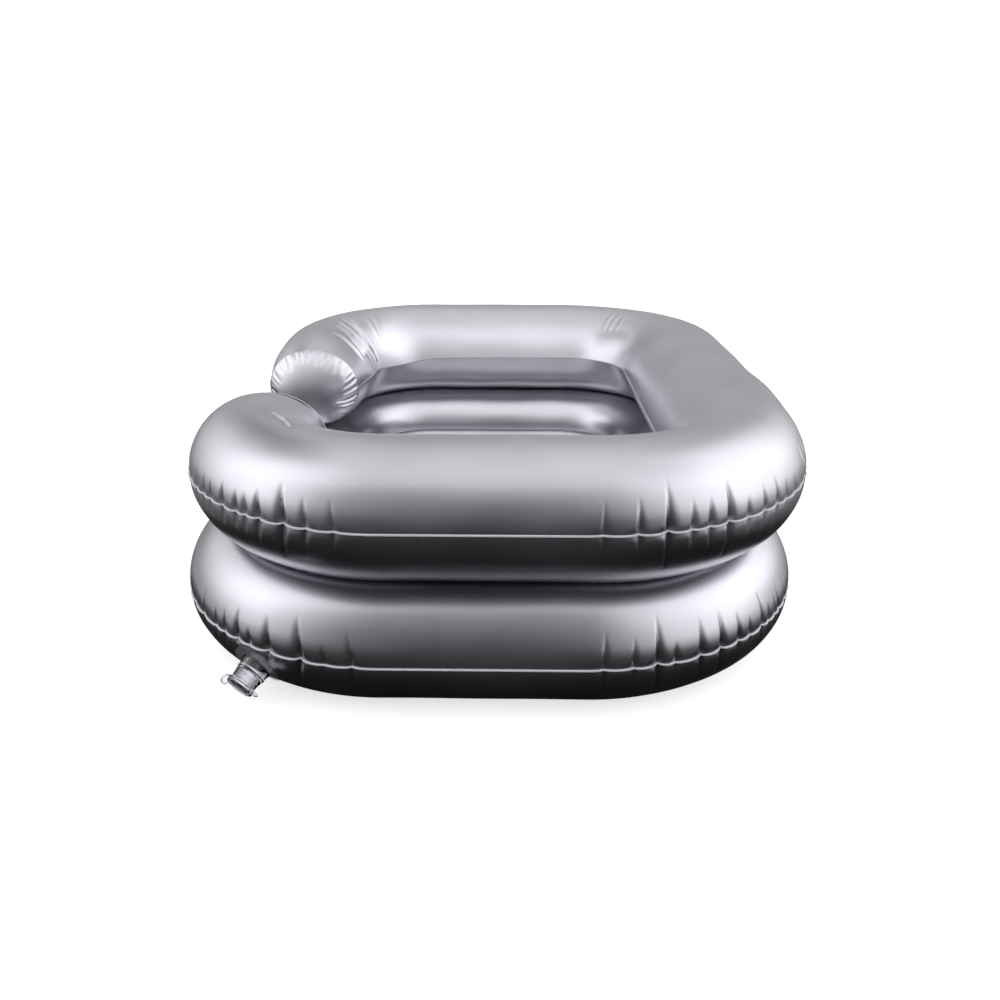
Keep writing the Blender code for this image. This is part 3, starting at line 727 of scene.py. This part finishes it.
def turned_piece(name, profile, hollow, edge):
    """Round piece raised from a circle, loop by loop, along its (radius, height) profile."""
    radius, height = profile[0]
    fill = "NOTHING" if hollow else "NGON"
    place = (0.0, 0.0, height)
    bpy.ops.mesh.primitive_circle_add(vertices=72, radius=radius, location=place, fill_type=fill)
    piece = new_shape(name)
    bpy.ops.object.mode_set(mode="EDIT")
    bpy.ops.mesh.select_all(action="SELECT")
    loops = [*profile[1:], profile[0]] if hollow else profile[1:]
    for wide, high in loops:
        bpy.ops.mesh.extrude_edges_move(TRANSFORM_OT_translate={"value": (0.0, 0.0, high - height)})
        share = wide / radius
        bpy.ops.transform.resize(value=(share, share, 1.0), center_override=(0.0, 0.0, high))
        radius, height = wide, high
    if not hollow:
        bpy.ops.mesh.edge_face_add()
    bpy.ops.mesh.select_all(action="SELECT")
    bpy.ops.mesh.remove_doubles(threshold=0.000005)
    bpy.ops.mesh.normals_make_consistent(inside=False)
    bpy.ops.object.mode_set(mode="OBJECT")
    bevel = piece.modifiers.new("soft_edges", "BEVEL")
    bevel.width = edge
    bevel.segments = 3
    bevel.limit_method = "ANGLE"
    bevel.angle_limit = math.radians(35)
    bpy.ops.object.modifier_apply(modifier=bevel.name)
    bpy.ops.object.shade_smooth_by_angle(angle=math.radians(40))
    piece.select_set(False)
    return piece


def wire_ring(name, radius, wire, place, turn):
    bpy.ops.mesh.primitive_torus_add(
        major_radius=radius, minor_radius=wire, major_segments=48, minor_segments=16,
        location=place, rotation=turn,
    )
    ring = new_shape(name)
    bpy.ops.object.shade_smooth()
    ring.select_set(False)
    return ring


def joined(piece, *others):
    for obj in (piece, *others):
        obj.select_set(True)
    bpy.context.view_layer.objects.active = piece
    bpy.ops.object.join()
    piece.select_set(False)
    return piece


def set_in_place(piece, placing):
    piece.data.transform(placing)
    piece.data.update()
    return piece


def skin_place(ring, way, turn, angle, offset):
    """Point at a height over the skin of one of the two corners at -X, and the skin's normal there."""
    half = ring.over if angle >= 0.0 else ring.under
    outward = Vector((-math.cos(turn), way * math.sin(turn), 0.0))
    centre = Vector((ring.x - ring.half_x + ring.corner, way * (ring.half_y - ring.corner), ring.z))
    out = ring.corner + TUBE * math.cos(angle)
    on_skin = centre + outward * out + UP * (half * math.sin(angle))
    normal = outward * math.cos(angle) / TUBE + UP * (math.sin(angle) / half)
    normal.normalize()
    return on_skin + normal * offset, normal


def valve_placing(ring, way):
    """Frame on the ring's skin, with +Z out of the ring and +X along it."""
    origin, axis = skin_place(ring, way, VALVE_TURN, VALVE_ANGLE, 0.0)
    along = UP.cross(axis).normalized()
    return Matrix.Translation(origin) @ Matrix((along, axis.cross(along), axis)).transposed().to_4x4()


def valve_patch(name, ring, way):
    """Clear disc welded on the film round the neck, with a raised weld near its edge."""
    bpy.ops.mesh.primitive_circle_add(vertices=96, radius=PATCH_RADIUS, fill_type="NGON")
    patch = new_shape(name)
    bpy.ops.object.mode_set(mode="EDIT")
    bpy.ops.mesh.select_all(action="SELECT")
    for step in (0.0004, 0.0008, 0.0004, 0.0004, 0.0008, 0.0015, 0.0012, PATCH_RADIUS - 0.0055 - NECK_HOLE):
        bpy.ops.mesh.inset(thickness=step, use_even_offset=True)
    bpy.ops.mesh.delete(type="FACE")
    bpy.ops.object.mode_set(mode="OBJECT")
    arm = ring.corner + TUBE * math.cos(VALVE_ANGLE)
    bend = math.hypot(TUBE * math.sin(VALVE_ANGLE), ring.under * math.cos(VALVE_ANGLE))
    for vert in patch.data.vertices:
        from_edge = PATCH_RADIUS - math.hypot(vert.co.x, vert.co.y)
        raised = 0.0003 * math.exp(-(((from_edge - 0.0016) / 0.0005) ** 2))
        turn, angle = VALVE_TURN + vert.co.x / arm, VALVE_ANGLE + vert.co.y / bend
        vert.co = skin_place(ring, way, turn, angle, 0.0003 + raised)[0]
    wall = patch.modifiers.new("wall", "SOLIDIFY")
    wall.thickness = PATCH_THICKNESS
    wall.offset = 1.0
    bpy.ops.object.modifier_apply(modifier=wall.name)
    patch.select_set(False)
    face_outwards(patch)
    return patch


def valve_neck(name):
    """Root lip inside the ring, a bead, a tapering wall and a rim."""
    profile = (
        (0.0080, -0.0060), (0.0146, -0.0060), (0.0146, -0.0048), (0.0115, -0.0048), (0.0115, 0.0006),
        (0.0111, 0.0022), (0.0107, 0.0050), (0.0110, 0.0054), (0.0110, 0.0064), (0.01045, 0.0068),
        (0.0097, 0.0118), (0.0093, 0.0144), (0.0099, 0.0150), (0.0105, 0.0155), (0.0105, 0.0165),
        (0.0101, NECK_TOP), (0.0085, NECK_TOP), (0.0080, 0.0166),
    )
    return turned_piece(name, profile, True, 0.00018)


def valve_plug(name):
    profile = (
        (0.0060, -0.0110), (0.0069, -0.0102), (0.0076, -0.0070), (0.0077, -0.0050), (0.0077, -0.0028),
        (0.0074, -0.0024), (0.0074, -0.0014), (0.0077, -0.0010), (0.0077, 0.0), (0.0105, 0.0),
        (0.0105, 0.0012), (0.0101, 0.0016), (0.0084, 0.0016), (0.0078, 0.0011), (0.0030, 0.0010),
    )
    plug = turned_piece(name, profile, False, 0.00015)
    loop = wire_ring(name + "_ring", 0.0030, 0.0009, (0.0135, 0.0, 0.0008), (0.0, 0.0, 0.0))
    joined(plug, loop)
    return set_in_place(plug, Matrix.Translation(UP * PLUG_SEAT))


def strap(name, places, across_at, width, thickness):
    """Flat strap with rounded edges along a list of places."""
    around = 2 * math.pi * (np.arange(12) + 0.5) / 12
    side, lift = np.cos(around), np.sin(around)
    wide = width / 2 * np.sign(side) * np.abs(side) ** 0.45
    high = thickness / 2 * np.sign(lift) * np.abs(lift) ** 0.8
    verts = []
    for i, place in enumerate(places):
        ahead = (places[min(i + 1, len(places) - 1)] - places[max(i - 1, 0)]).normalized()
        across = across_at(ahead)
        rise = across.cross(ahead)
        verts += [place + across * float(a) + rise * float(b) for a, b in zip(wide, high)]
    count = len(around)
    faces = grid_faces(len(places), count, False, True)
    faces.append(list(range(count)))
    faces.append([(len(places) - 1) * count + j for j in reversed(range(count))])
    return mesh_piece(name, verts, faces, {})


def valve_tether(name):
    """Loop of strap beside the neck, from its rim to the plug's head."""
    radius, low, high = 0.0035, NECK_TOP - 0.0011, PLUG_SEAT + 0.0008
    start = math.asin((high - low) / 2 / radius)
    middle = Vector((-0.0116 - radius * math.cos(start), 0.0, (low + high) / 2))
    places = []
    for i in range(41):
        around = start + (2 * math.pi - 2 * start) * i / 40
        places.append(middle + Vector((radius * math.cos(around), 0.0, radius * math.sin(around))))
    return strap(name, places, lambda ahead: Vector((0.0, 1.0, 0.0)), 0.0030, STRAP_THICKNESS)


def cut_neck_hole(film, placing):
    """Round hole in the film where the neck passes."""
    bpy.ops.mesh.primitive_cylinder_add(vertices=72, radius=NECK_HOLE, depth=0.020)
    tool = bpy.context.active_object
    tool.select_set(False)
    set_in_place(tool, placing)
    bpy.context.view_layer.objects.active = film
    hole = film.modifiers.new("neck_hole", "BOOLEAN")
    hole.operation = "DIFFERENCE"
    hole.solver = "EXACT"
    hole.object = tool
    bpy.ops.object.modifier_apply(modifier=hole.name)
    bpy.data.objects.remove(tool)


def add_valve(title, ring, way, film, clear, welded):
    placing = valve_placing(ring, way)
    cut_neck_hole(film, placing)
    dress(valve_patch(title + "_disc", ring, way), welded, "basin", "clear_pvc", title + "_patch")
    neck = set_in_place(valve_neck(title + "_turned_neck"), placing)
    dress(neck, clear, title + "_stem", "clear_pvc", title + "_neck")
    plug = set_in_place(valve_plug(title + "_moulded_plug"), placing)
    dress(plug, clear, title + "_stopper", "clear_pvc", title + "_plug")
    tether = set_in_place(valve_tether(title + "_strap"), placing)
    low, high = placing @ (UP * TETHER_LOW), placing @ (UP * TETHER_HIGH)
    dress(tether, clear, None, "clear_pvc", title + "_tether")
    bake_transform(tether)
    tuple(low)
    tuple(high)


def add_drain(clear):
    spot = Matrix.Translation(DRAIN_SPOT)
    spigot = (
        (0.0070, 0.0202), (0.0070, 0.0037), (0.0086, 0.0037), (0.0086, 0.0070), (0.0094, 0.00783),
        (0.0086, 0.0086), (0.0086, 0.0120), (0.0094, 0.01278), (0.0086, 0.0136), (0.0086, 0.0178),
        (0.0090, 0.0186), (0.0100, 0.0190), (0.0236, 0.0190), (0.0240, 0.0193), (0.0240, 0.0202),
    )
    outlet = set_in_place(turned_piece("drain_spigot", spigot, True, 0.00012), spot)
    dress(outlet, clear, "basin", "clear_pvc", "drain_outlet")
    stopper = (
        (0.0054, -0.0100), (0.0061, -0.0094), (0.0067, -0.0060), (0.0067, -0.0030), (0.0064, -0.0026),
        (0.0064, -0.0014), (0.0067, -0.0010), (0.0067, 0.0), (0.0120, 0.0), (0.0120, 0.0013),
        (0.0113, 0.0020), (0.0098, 0.0020), (0.0092, 0.0015), (0.0030, 0.0018),
    )
    plug = turned_piece("drain_moulded_plug", stopper, False, 0.00015)
    joined(plug, wire_ring("drain_pull", 0.0060, 0.0011, (0.0, 0.0, 0.0080), (math.pi / 2, 0.0, 0.0)))
    set_in_place(plug, spot @ Matrix.Translation(UP * DRAIN_PLUG_SEAT))
    dress(plug, clear, "drain_stopper", "clear_pvc", "drain_plug")
    places = []
    for i in range(49):
        u = i / 48
        places.append(DRAIN_SPOT + Vector((0.0143 + 0.034 * u, 0.008 * math.sin(math.pi * u), 0.0217)))
    tether = strap("drain_strap", places, UP.cross, 0.0040, STRAP_THICKNESS)
    dress(tether, clear, None, "clear_pvc", "drain_tether")
    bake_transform(tether)


# Finishes
def feed(tree, socket, value):
    """Gives an input its number or colour, or links it to the socket that it reads."""
    if isinstance(value, bpy.types.NodeSocket):
        tree.links.new(value, socket)
    else:
        socket.default_value = (*value, 1.0) if isinstance(value, tuple) else value


def new_node(tree, kind, inputs, **settings):
    node = tree.nodes.new("ShaderNode" + kind)
    for key, value in settings.items():
        setattr(node, key, value)
    for key, value in inputs.items():
        feed(tree, node.inputs[key], value)
    return node


def set_shader(tree, inputs):
    for key, value in inputs.items():
        feed(tree, tree.nodes["Principled BSDF"].inputs[key], value)


def film_grain():
    """Fine pebbling and slow clouds of pressed vinyl film, shared by every finish of this basin."""
    group = bpy.data.node_groups.new("vinyl_grain", "ShaderNodeTree")
    group.interface.new_socket("Scale", in_out="INPUT", socket_type="NodeSocketFloat").default_value = 900.0
    group.interface.new_socket("Clouds", in_out="OUTPUT", socket_type="NodeSocketFloat")
    group.interface.new_socket("Grain", in_out="OUTPUT", socket_type="NodeSocketFloat")
    given = group.nodes.new("NodeGroupInput")
    shown = group.nodes.new("NodeGroupOutput")
    place = new_node(group, "TexCoord", {}).outputs["Object"]
    cloud = new_node(group, "TexNoise", {"Vector": place, "Scale": 11.0, "Detail": 3.0})
    fine = new_node(group, "TexNoise", {"Vector": place, "Scale": given.outputs["Scale"], "Detail": 1.0})
    feed(group, shown.inputs["Clouds"], cloud.outputs["Fac"])
    feed(group, shown.inputs["Grain"], fine.outputs["Fac"])
    return group


def spread(tree, value, low, high):
    return new_node(tree, "MapRange", {"Value": value, "To Min": low, "To Max": high}).outputs["Result"]


def blend_colours(tree, share, low, high):
    return new_node(tree, "Mix", {0: share, 6: low, 7: high}, data_type="RGBA").outputs[2]


def pebbled(tree, grain, strength, distance):
    bump = new_node(tree, "Bump", {"Strength": strength, "Distance": distance, "Height": grain})
    return bump.outputs["Normal"]


def new_finish(name, grain, scale):
    """New material with the vinyl's grain in it."""
    material = bpy.data.materials.new(name)
    material.use_nodes = True
    texture = new_node(material.node_tree, "Group", {}, node_tree=grain)
    texture.inputs["Scale"].default_value = scale
    return material, material.node_tree, texture.outputs


def silver_film(name, grain):
    """Pearly silver PVC film, milky white where it is welded, with painted shade from the fold mask that
    darkens its folds, the film beside its outer welds and the crevice between the rings.
    """
    material, tree, texture = new_finish(name, grain, 1100.0)
    weld = new_node(tree, "Attribute", {}, attribute_name="weld").outputs["Fac"]
    fold = new_node(tree, "Attribute", {}, attribute_name="fold").outputs["Fac"]
    tone = blend_colours(tree, texture["Clouds"], (0.440, 0.440, 0.482), (0.640, 0.640, 0.692))
    # Painted shade: the fold mask blends the film's colour towards near black.
    tone = blend_colours(tree, spread(tree, fold, 0.0, 0.86), tone, (0.13, 0.13, 0.15))
    set_shader(tree, {
        "Base Color": blend_colours(tree, weld, tone, (0.56, 0.56, 0.59)),
        "Metallic": spread(tree, weld, 1.0, 0.10),
        "Roughness": spread(tree, texture["Clouds"], 0.25, 0.35),
        "Coat Weight": 0.10,
        "Coat Roughness": 0.20,
        "Normal": pebbled(tree, texture["Grain"], 0.04, 0.0002),
    })
    return material


def clear_vinyl(name, grain):
    """Clear soft vinyl, darker where one looks along its wall."""
    material, tree, texture = new_finish(name, grain, 420.0)
    edge = new_node(tree, "LayerWeight", {"Blend": 0.58}).outputs["Facing"]
    tone = blend_colours(tree, texture["Clouds"], (0.95, 0.94, 0.97), (0.90, 0.89, 0.94))
    set_shader(tree, {
        "Base Color": blend_colours(tree, edge, tone, (0.03, 0.03, 0.04)),
        "Metallic": 0.0,
        "Roughness": spread(tree, texture["Clouds"], 0.02, 0.07),
        "IOR": 1.50,
        "Transmission Weight": 1.0,
        "Normal": pebbled(tree, texture["Grain"], 0.06, 0.0003),
    })
    return material


def thin_vinyl(name, grain):
    """Thin clear vinyl welded flat on the film, which shows through it."""
    material, tree, texture = new_finish(name, grain, 420.0)
    set_shader(tree, {
        "Base Color": blend_colours(tree, texture["Clouds"], (0.17, 0.17, 0.19), (0.23, 0.23, 0.25)),
        "Roughness": spread(tree, texture["Clouds"], 0.10, 0.18),
        "Alpha": 0.30,
    })
    return material


def dress(piece, material, body, slot, *nodes):
    piece.data.materials.clear()
    piece.data.materials.append(material)
    if body:
        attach(piece, body)
    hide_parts(*nodes)


# Camera and light. Brightness by height over the horizon, from -1 straight down to 1 straight up
FRONT_LIGHT = (
    (-1.0, 0.005), (-0.64, 0.02), (-0.34, 0.08), (-0.17, 0.23), (0.0, 0.40), (0.17, 0.84), (0.34, 1.02),
    (0.50, 1.20), (0.64, 1.40), (0.77, 1.50), (0.90, 1.38), (1.0, 1.02),
)
SIDE_LIGHT = (
    (-1.0, 0.005), (-0.64, 0.02), (-0.50, 0.05), (-0.34, 0.18), (-0.17, 0.66), (0.0, 1.30),
    (0.17, 1.75), (0.34, 2.02), (0.50, 2.05), (0.64, 1.98), (0.77, 1.74), (0.87, 1.42), (0.94, 1.16),
    (1.0, 1.02),
)
BACK_LIGHT = (
    (-1.0, 0.01), (-0.50, 0.08), (-0.17, 0.32), (0.0, 0.44), (0.17, 0.50), (0.34, 0.54), (0.50, 0.61),
    (0.64, 0.73), (0.77, 0.86), (0.90, 0.97), (1.0, 1.02),
)
LIGHT_STRENGTH = 2.4

ONLY_GLOSS = ("camera", "diffuse", "shadow", "transmission")

# Soft flags: where they stand, the share of light that they take along their length, and the share that
# they leave by height
FRONT_FLAG_SPOT = -0.36
FRONT_FLAG_COVER = (
    (-0.50, 0.00), (-0.245, 0.55), (-0.16, 0.80), (-0.08, 0.92), (0.00, 1.00), (0.08, 0.94),
    (0.16, 0.32), (0.245, 0.26), (0.35, 0.18), (0.60, 0.00),
)
FRONT_FLAG_LEFT = (
    (0.0, 0.02), (0.04, 0.024), (0.06, 0.032), (0.087, 0.064), (0.105, 0.09), (0.125, 0.11),
    (0.145, 0.13), (0.175, 0.15), (0.19, 0.165), (0.23, 0.27), (0.26, 0.375), (0.30, 0.55),
    (0.38, 0.76), (0.50, 0.89), (0.62, 0.96), (0.80, 1.00),
)
SIDE_FLAG_SPOT = 0.60
SIDE_FLAG_COVER = ((-1.0, 0.0), (-0.6, 1.0), (0.6, 1.0), (1.0, 0.0))
LEFT_FLAG_LEFT = (
    (0.0, 0.38), (0.05, 0.52), (0.10, 0.66), (0.15, 0.78), (0.20, 0.88), (0.30, 0.97), (0.40, 1.00),
)
RIGHT_FLAG_LEFT = ((0.0, 0.66), (0.05, 0.80), (0.10, 0.91), (0.15, 0.97), (0.20, 1.00))
HIGH_FLAG_COVER = ((-0.28, 0.0), (-0.03, 1.0), (0.60, 1.0), (0.90, 0.0))
HIGH_FLAG_LEFT = ((0.0, 1.0), (0.45, 1.0), (0.62, 0.75), (0.78, 0.45), (1.0, 0.40), (1.3, 0.70), (1.6, 1.0))


def look_camera():
    data = bpy.data.cameras.new("photo_camera")
    data.sensor_width = 36.0
    focal_pixels, photo_pixels = 814.5, 1000
    data.lens = focal_pixels * data.sensor_width / photo_pixels
    data.clip_start = 0.02
    data.clip_end = 50.0
    camera = bpy.data.objects.new("photo_camera", data)
    right = Vector((0.99994682, 0.00984416, 0.00307506))
    up = Vector((-0.00676967, 0.40157498, 0.91580113))
    back = Vector((0.00778043, -0.91577324, 0.40162027))
    turned = Matrix((right, up, back)).transposed().to_4x4()
    camera.matrix_world = Matrix.Translation((0.01395, -0.75312, 0.36964)) @ turned
    bpy.context.scene.collection.objects.link(camera)
    bpy.context.scene.camera = camera


def graded(tree, value, stops, strength=1.0):
    """Grey value read off a list of (place, value) stops."""
    low, high = stops[0][0], stops[-1][0]
    share = new_node(tree, "MapRange", {"Value": value, "From Min": low, "From Max": high})
    ramp = new_node(tree, "ValToRGB", {"Fac": share.outputs["Result"]})
    elements = ramp.color_ramp.elements
    elements.remove(elements[1])
    for i, (place, level) in enumerate(stops):
        spot = (place - low) / (high - low)
        element = elements[0] if i == 0 else elements.new(spot)
        element.position = spot
        element.color = (*(level / strength,) * 3, 1.0)
    return ramp.outputs["Color"]


def number(tree, operation, a, b=0.0):
    """Result of one step of arithmetic on numbers or sockets."""
    return new_node(tree, "Math", {0: a, 1: b}, operation=operation).outputs["Value"]


def eased(tree, value, low, high):
    """0 below one value and 1 above another, smooth between them."""
    inputs = {"Value": value, "From Min": low, "From Max": high}
    return new_node(tree, "MapRange", inputs, interpolation_type="SMOOTHSTEP").outputs["Result"]


def mix_shaders(tree, share, first, second):
    return new_node(tree, "MixShader", {0: share, 1: first, 2: second}).outputs["Shader"]


def studio_world():
    """Soft light from above, brightest from two large boxes at the sides, white where the camera sees it."""
    world = bpy.data.worlds.new("studio")
    bpy.context.scene.world = world
    world.use_nodes = True
    tree = world.node_tree
    tree.nodes.clear()
    place = new_node(tree, "TexCoord", {}).outputs["Generated"]
    split = new_node(tree, "SeparateXYZ", {"Vector": place})
    x, y, z = (split.outputs[axis] for axis in "XYZ")

    level = number(tree, "ADD", number(tree, "MULTIPLY", x, x), number(tree, "MULTIPLY", y, y))
    level = number(tree, "MAXIMUM", number(tree, "SQRT", level), 0.001)
    sideways = number(tree, "DIVIDE", number(tree, "ABSOLUTE", x), level)
    backwards = number(tree, "DIVIDE", y, level)
    leftwards = number(tree, "MULTIPLY", x, -1.0)
    back_left = number(tree, "MULTIPLY", eased(tree, backwards, 0.10, 0.65), eased(tree, leftwards, 0.0, 0.2))
    side_kept = number(tree, "SUBTRACT", 1.0, number(tree, "MULTIPLY", back_left, 0.50))
    to_side = number(tree, "MULTIPLY", eased(tree, sideways, 0.46, 0.93), side_kept)
    to_back = eased(tree, backwards, -0.5, 0.5)
    ahead = graded(tree, z, FRONT_LIGHT, LIGHT_STRENGTH)
    beside = graded(tree, z, SIDE_LIGHT, LIGHT_STRENGTH)
    behind = graded(tree, z, BACK_LIGHT, LIGHT_STRENGTH)
    around = blend_colours(tree, to_side, blend_colours(tree, to_back, ahead, behind), beside)

    light = new_node(tree, "Background", {"Color": around, "Strength": LIGHT_STRENGTH})
    white = new_node(tree, "Background", {"Color": (1.0, 1.0, 1.0)})
    seen = new_node(tree, "LightPath", {}).outputs["Is Camera Ray"]
    shown = mix_shaders(tree, seen, light.outputs["Background"], white.outputs["Background"])
    new_node(tree, "OutputWorld", {"Surface": shown})


def stage_plane(name, place, turn, size, unseen_by):
    """Plane of the studio that some kinds of ray pass by, returned as its material's nodes."""
    bpy.ops.mesh.primitive_plane_add(size=1.0, location=place, rotation=turn)
    bpy.context.active_object.scale = (*size, 1.0)
    plane = new_shape(name)
    material = bpy.data.materials.new(name + "_finish")
    material.use_nodes = True
    plane.data.materials.append(material)
    for ray in unseen_by:
        setattr(plane, "visible_" + ray, False)
    plane.select_set(False)
    return material.node_tree


def soft_flag(name, across, spot, cover, left):
    """Dark upright flag beside the basin, soft at its edges, that only its gloss reflects."""
    low, high, tall = cover[0][0], cover[-1][0], left[-1][0]
    middle = (low + high) / 2
    place = (middle, spot, tall / 2) if across == "X" else (spot, middle, tall / 2)
    turn = (math.pi / 2, 0.0, 0.0 if across == "X" else math.pi / 2)
    tree = stage_plane(name, place, turn, (high - low, tall), ONLY_GLOSS)
    tree.nodes.clear()
    here = new_node(tree, "TexCoord", {}).outputs["Object"]
    split = new_node(tree, "SeparateXYZ", {"Vector": here})
    fall = number(tree, "SUBTRACT", 1.0, graded(tree, split.outputs["Z"], left))
    taken = number(tree, "MULTIPLY", fall, graded(tree, split.outputs[across], cover))
    clear = new_node(tree, "BsdfTransparent", {}).outputs["BSDF"]
    dark = new_node(tree, "Emission", {"Color": (0.02, 0.02, 0.022)}).outputs["Emission"]
    new_node(tree, "OutputMaterial", {"Surface": mix_shaders(tree, taken, clear, dark)})


def dark_card():
    """Black card under the basin that only its gloss reflects."""
    tree = stage_plane("dark_card", (0.0, 0.02, -0.0003), (0.0, 0.0, 0.0), (0.74, 1.15), ONLY_GLOSS)
    set_shader(tree, {"Base Color": (0.006, 0.006, 0.007), "Roughness": 1.0, "Specular IOR Level": 0.0})


def studio_floor():
    unseen_by = ("glossy", "diffuse")
    tree = stage_plane("studio_floor", (0.0, 0.0, -0.0004), (0.0, 0.0, 0.0), (14.0, 14.0), unseen_by)
    set_shader(tree, {
        "Base Color": (0.55, 0.55, 0.55),
        "Roughness": 0.9,
        "Specular IOR Level": 0.0,
        "Emission Color": (1.0, 1.0, 1.0),
        "Emission Strength": 0.64,
    })


def film_cut(ring):
    """Flat size and area of a ring's film before it is welded and blown up."""
    strip = math.pi * TUBE + 2 * WELD_WIDTH
    start, end = ring_ends(ring)
    seam = end - start - 2 * math.pi * TUBE
    flat = (2 * (ring.half_x - TUBE + strip), 2 * (ring.half_y - TUBE + strip))
    return flat, seam * strip + math.pi * strip**2


def add_sheet(piece, film, node, flat, area):
    dress(piece, film, "basin", "grey_pvc", node)


def add_ring(title, ring, gathers, wrinkles, count, film):
    top = ring_film(title + "_top_film", ring, 1, gathers, wrinkles, count)
    bottom = ring_film(title + "_bottom_film", ring, -1, gathers, (), count)
    flat, area = film_cut(ring)
    add_sheet(top, film, title + "_top_sheet", flat, area)
    add_sheet(bottom, film, title + "_bottom_sheet", flat, area)
    return bottom


def basin():
    grain = film_grain()
    film = silver_film("silver_pvc_film", grain)
    clear = clear_vinyl("clear_vinyl", grain)
    welded = thin_vinyl("clear_vinyl_on_film", grain)
    upper_shown, lower_shown = leaning(UPPER_GATHERS), leaning(LOWER_GATHERS)
    upper = sorted([*upper_shown, *hidden_gathers(UPPER, upper_shown, 4)])
    lower = sorted([*lower_shown, *hidden_gathers(LOWER, lower_shown, 9)])
    lower_bottom = add_ring("lower_ring", LOWER, lower, (), 1150, film)
    upper_bottom = add_ring("upper_ring", UPPER, upper, UPPER_WRINKLES, 1100, film)
    back_end = ring_length(UPPER) - UPPER.end
    front_cap = arm_cap("front_arm_cap_film", UPPER.start, -1, 3, 0.009, 0.0, 0.5)
    back_cap = arm_cap("back_arm_cap_film", back_end, 1, 5, 0.016, 0.012, 1.0, BACK_CAP_FOLDS)
    add_sheet(front_cap, film, "front_arm_cap", CAP_FLAT, CAP_AREA)
    add_sheet(back_cap, film, "back_arm_cap", CAP_FLAT, CAP_AREA)
    floor = floor_sheet("basin_floor_film")
    add_sheet(floor, film, "basin_floor_sheet", FLOOR_FLAT, FLOOR_AREA)
    add_valve("lower_valve", LOWER, -1, lower_bottom, clear, welded)
    add_valve("upper_valve", UPPER, 1, upper_bottom, clear, welded)
    add_drain(clear)
    for name in ("lower_valve_flap", "upper_valve_flap"):
        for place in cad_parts[name].material_slots:
            place.material = clear


look_camera()
bpy.context.scene.view_settings.view_transform = "Standard"
studio_world()
dark_card()
soft_flag("front_flag", "X", FRONT_FLAG_SPOT, FRONT_FLAG_COVER, FRONT_FLAG_LEFT)
soft_flag("left_flag", "Y", -SIDE_FLAG_SPOT, SIDE_FLAG_COVER, LEFT_FLAG_LEFT)
soft_flag("left_high_flag", "Y", -SIDE_FLAG_SPOT - 0.002, HIGH_FLAG_COVER, HIGH_FLAG_LEFT)
soft_flag("right_flag", "Y", SIDE_FLAG_SPOT, SIDE_FLAG_COVER, RIGHT_FLAG_LEFT)
studio_floor()
basin()

bpy.context.view_layer.update()
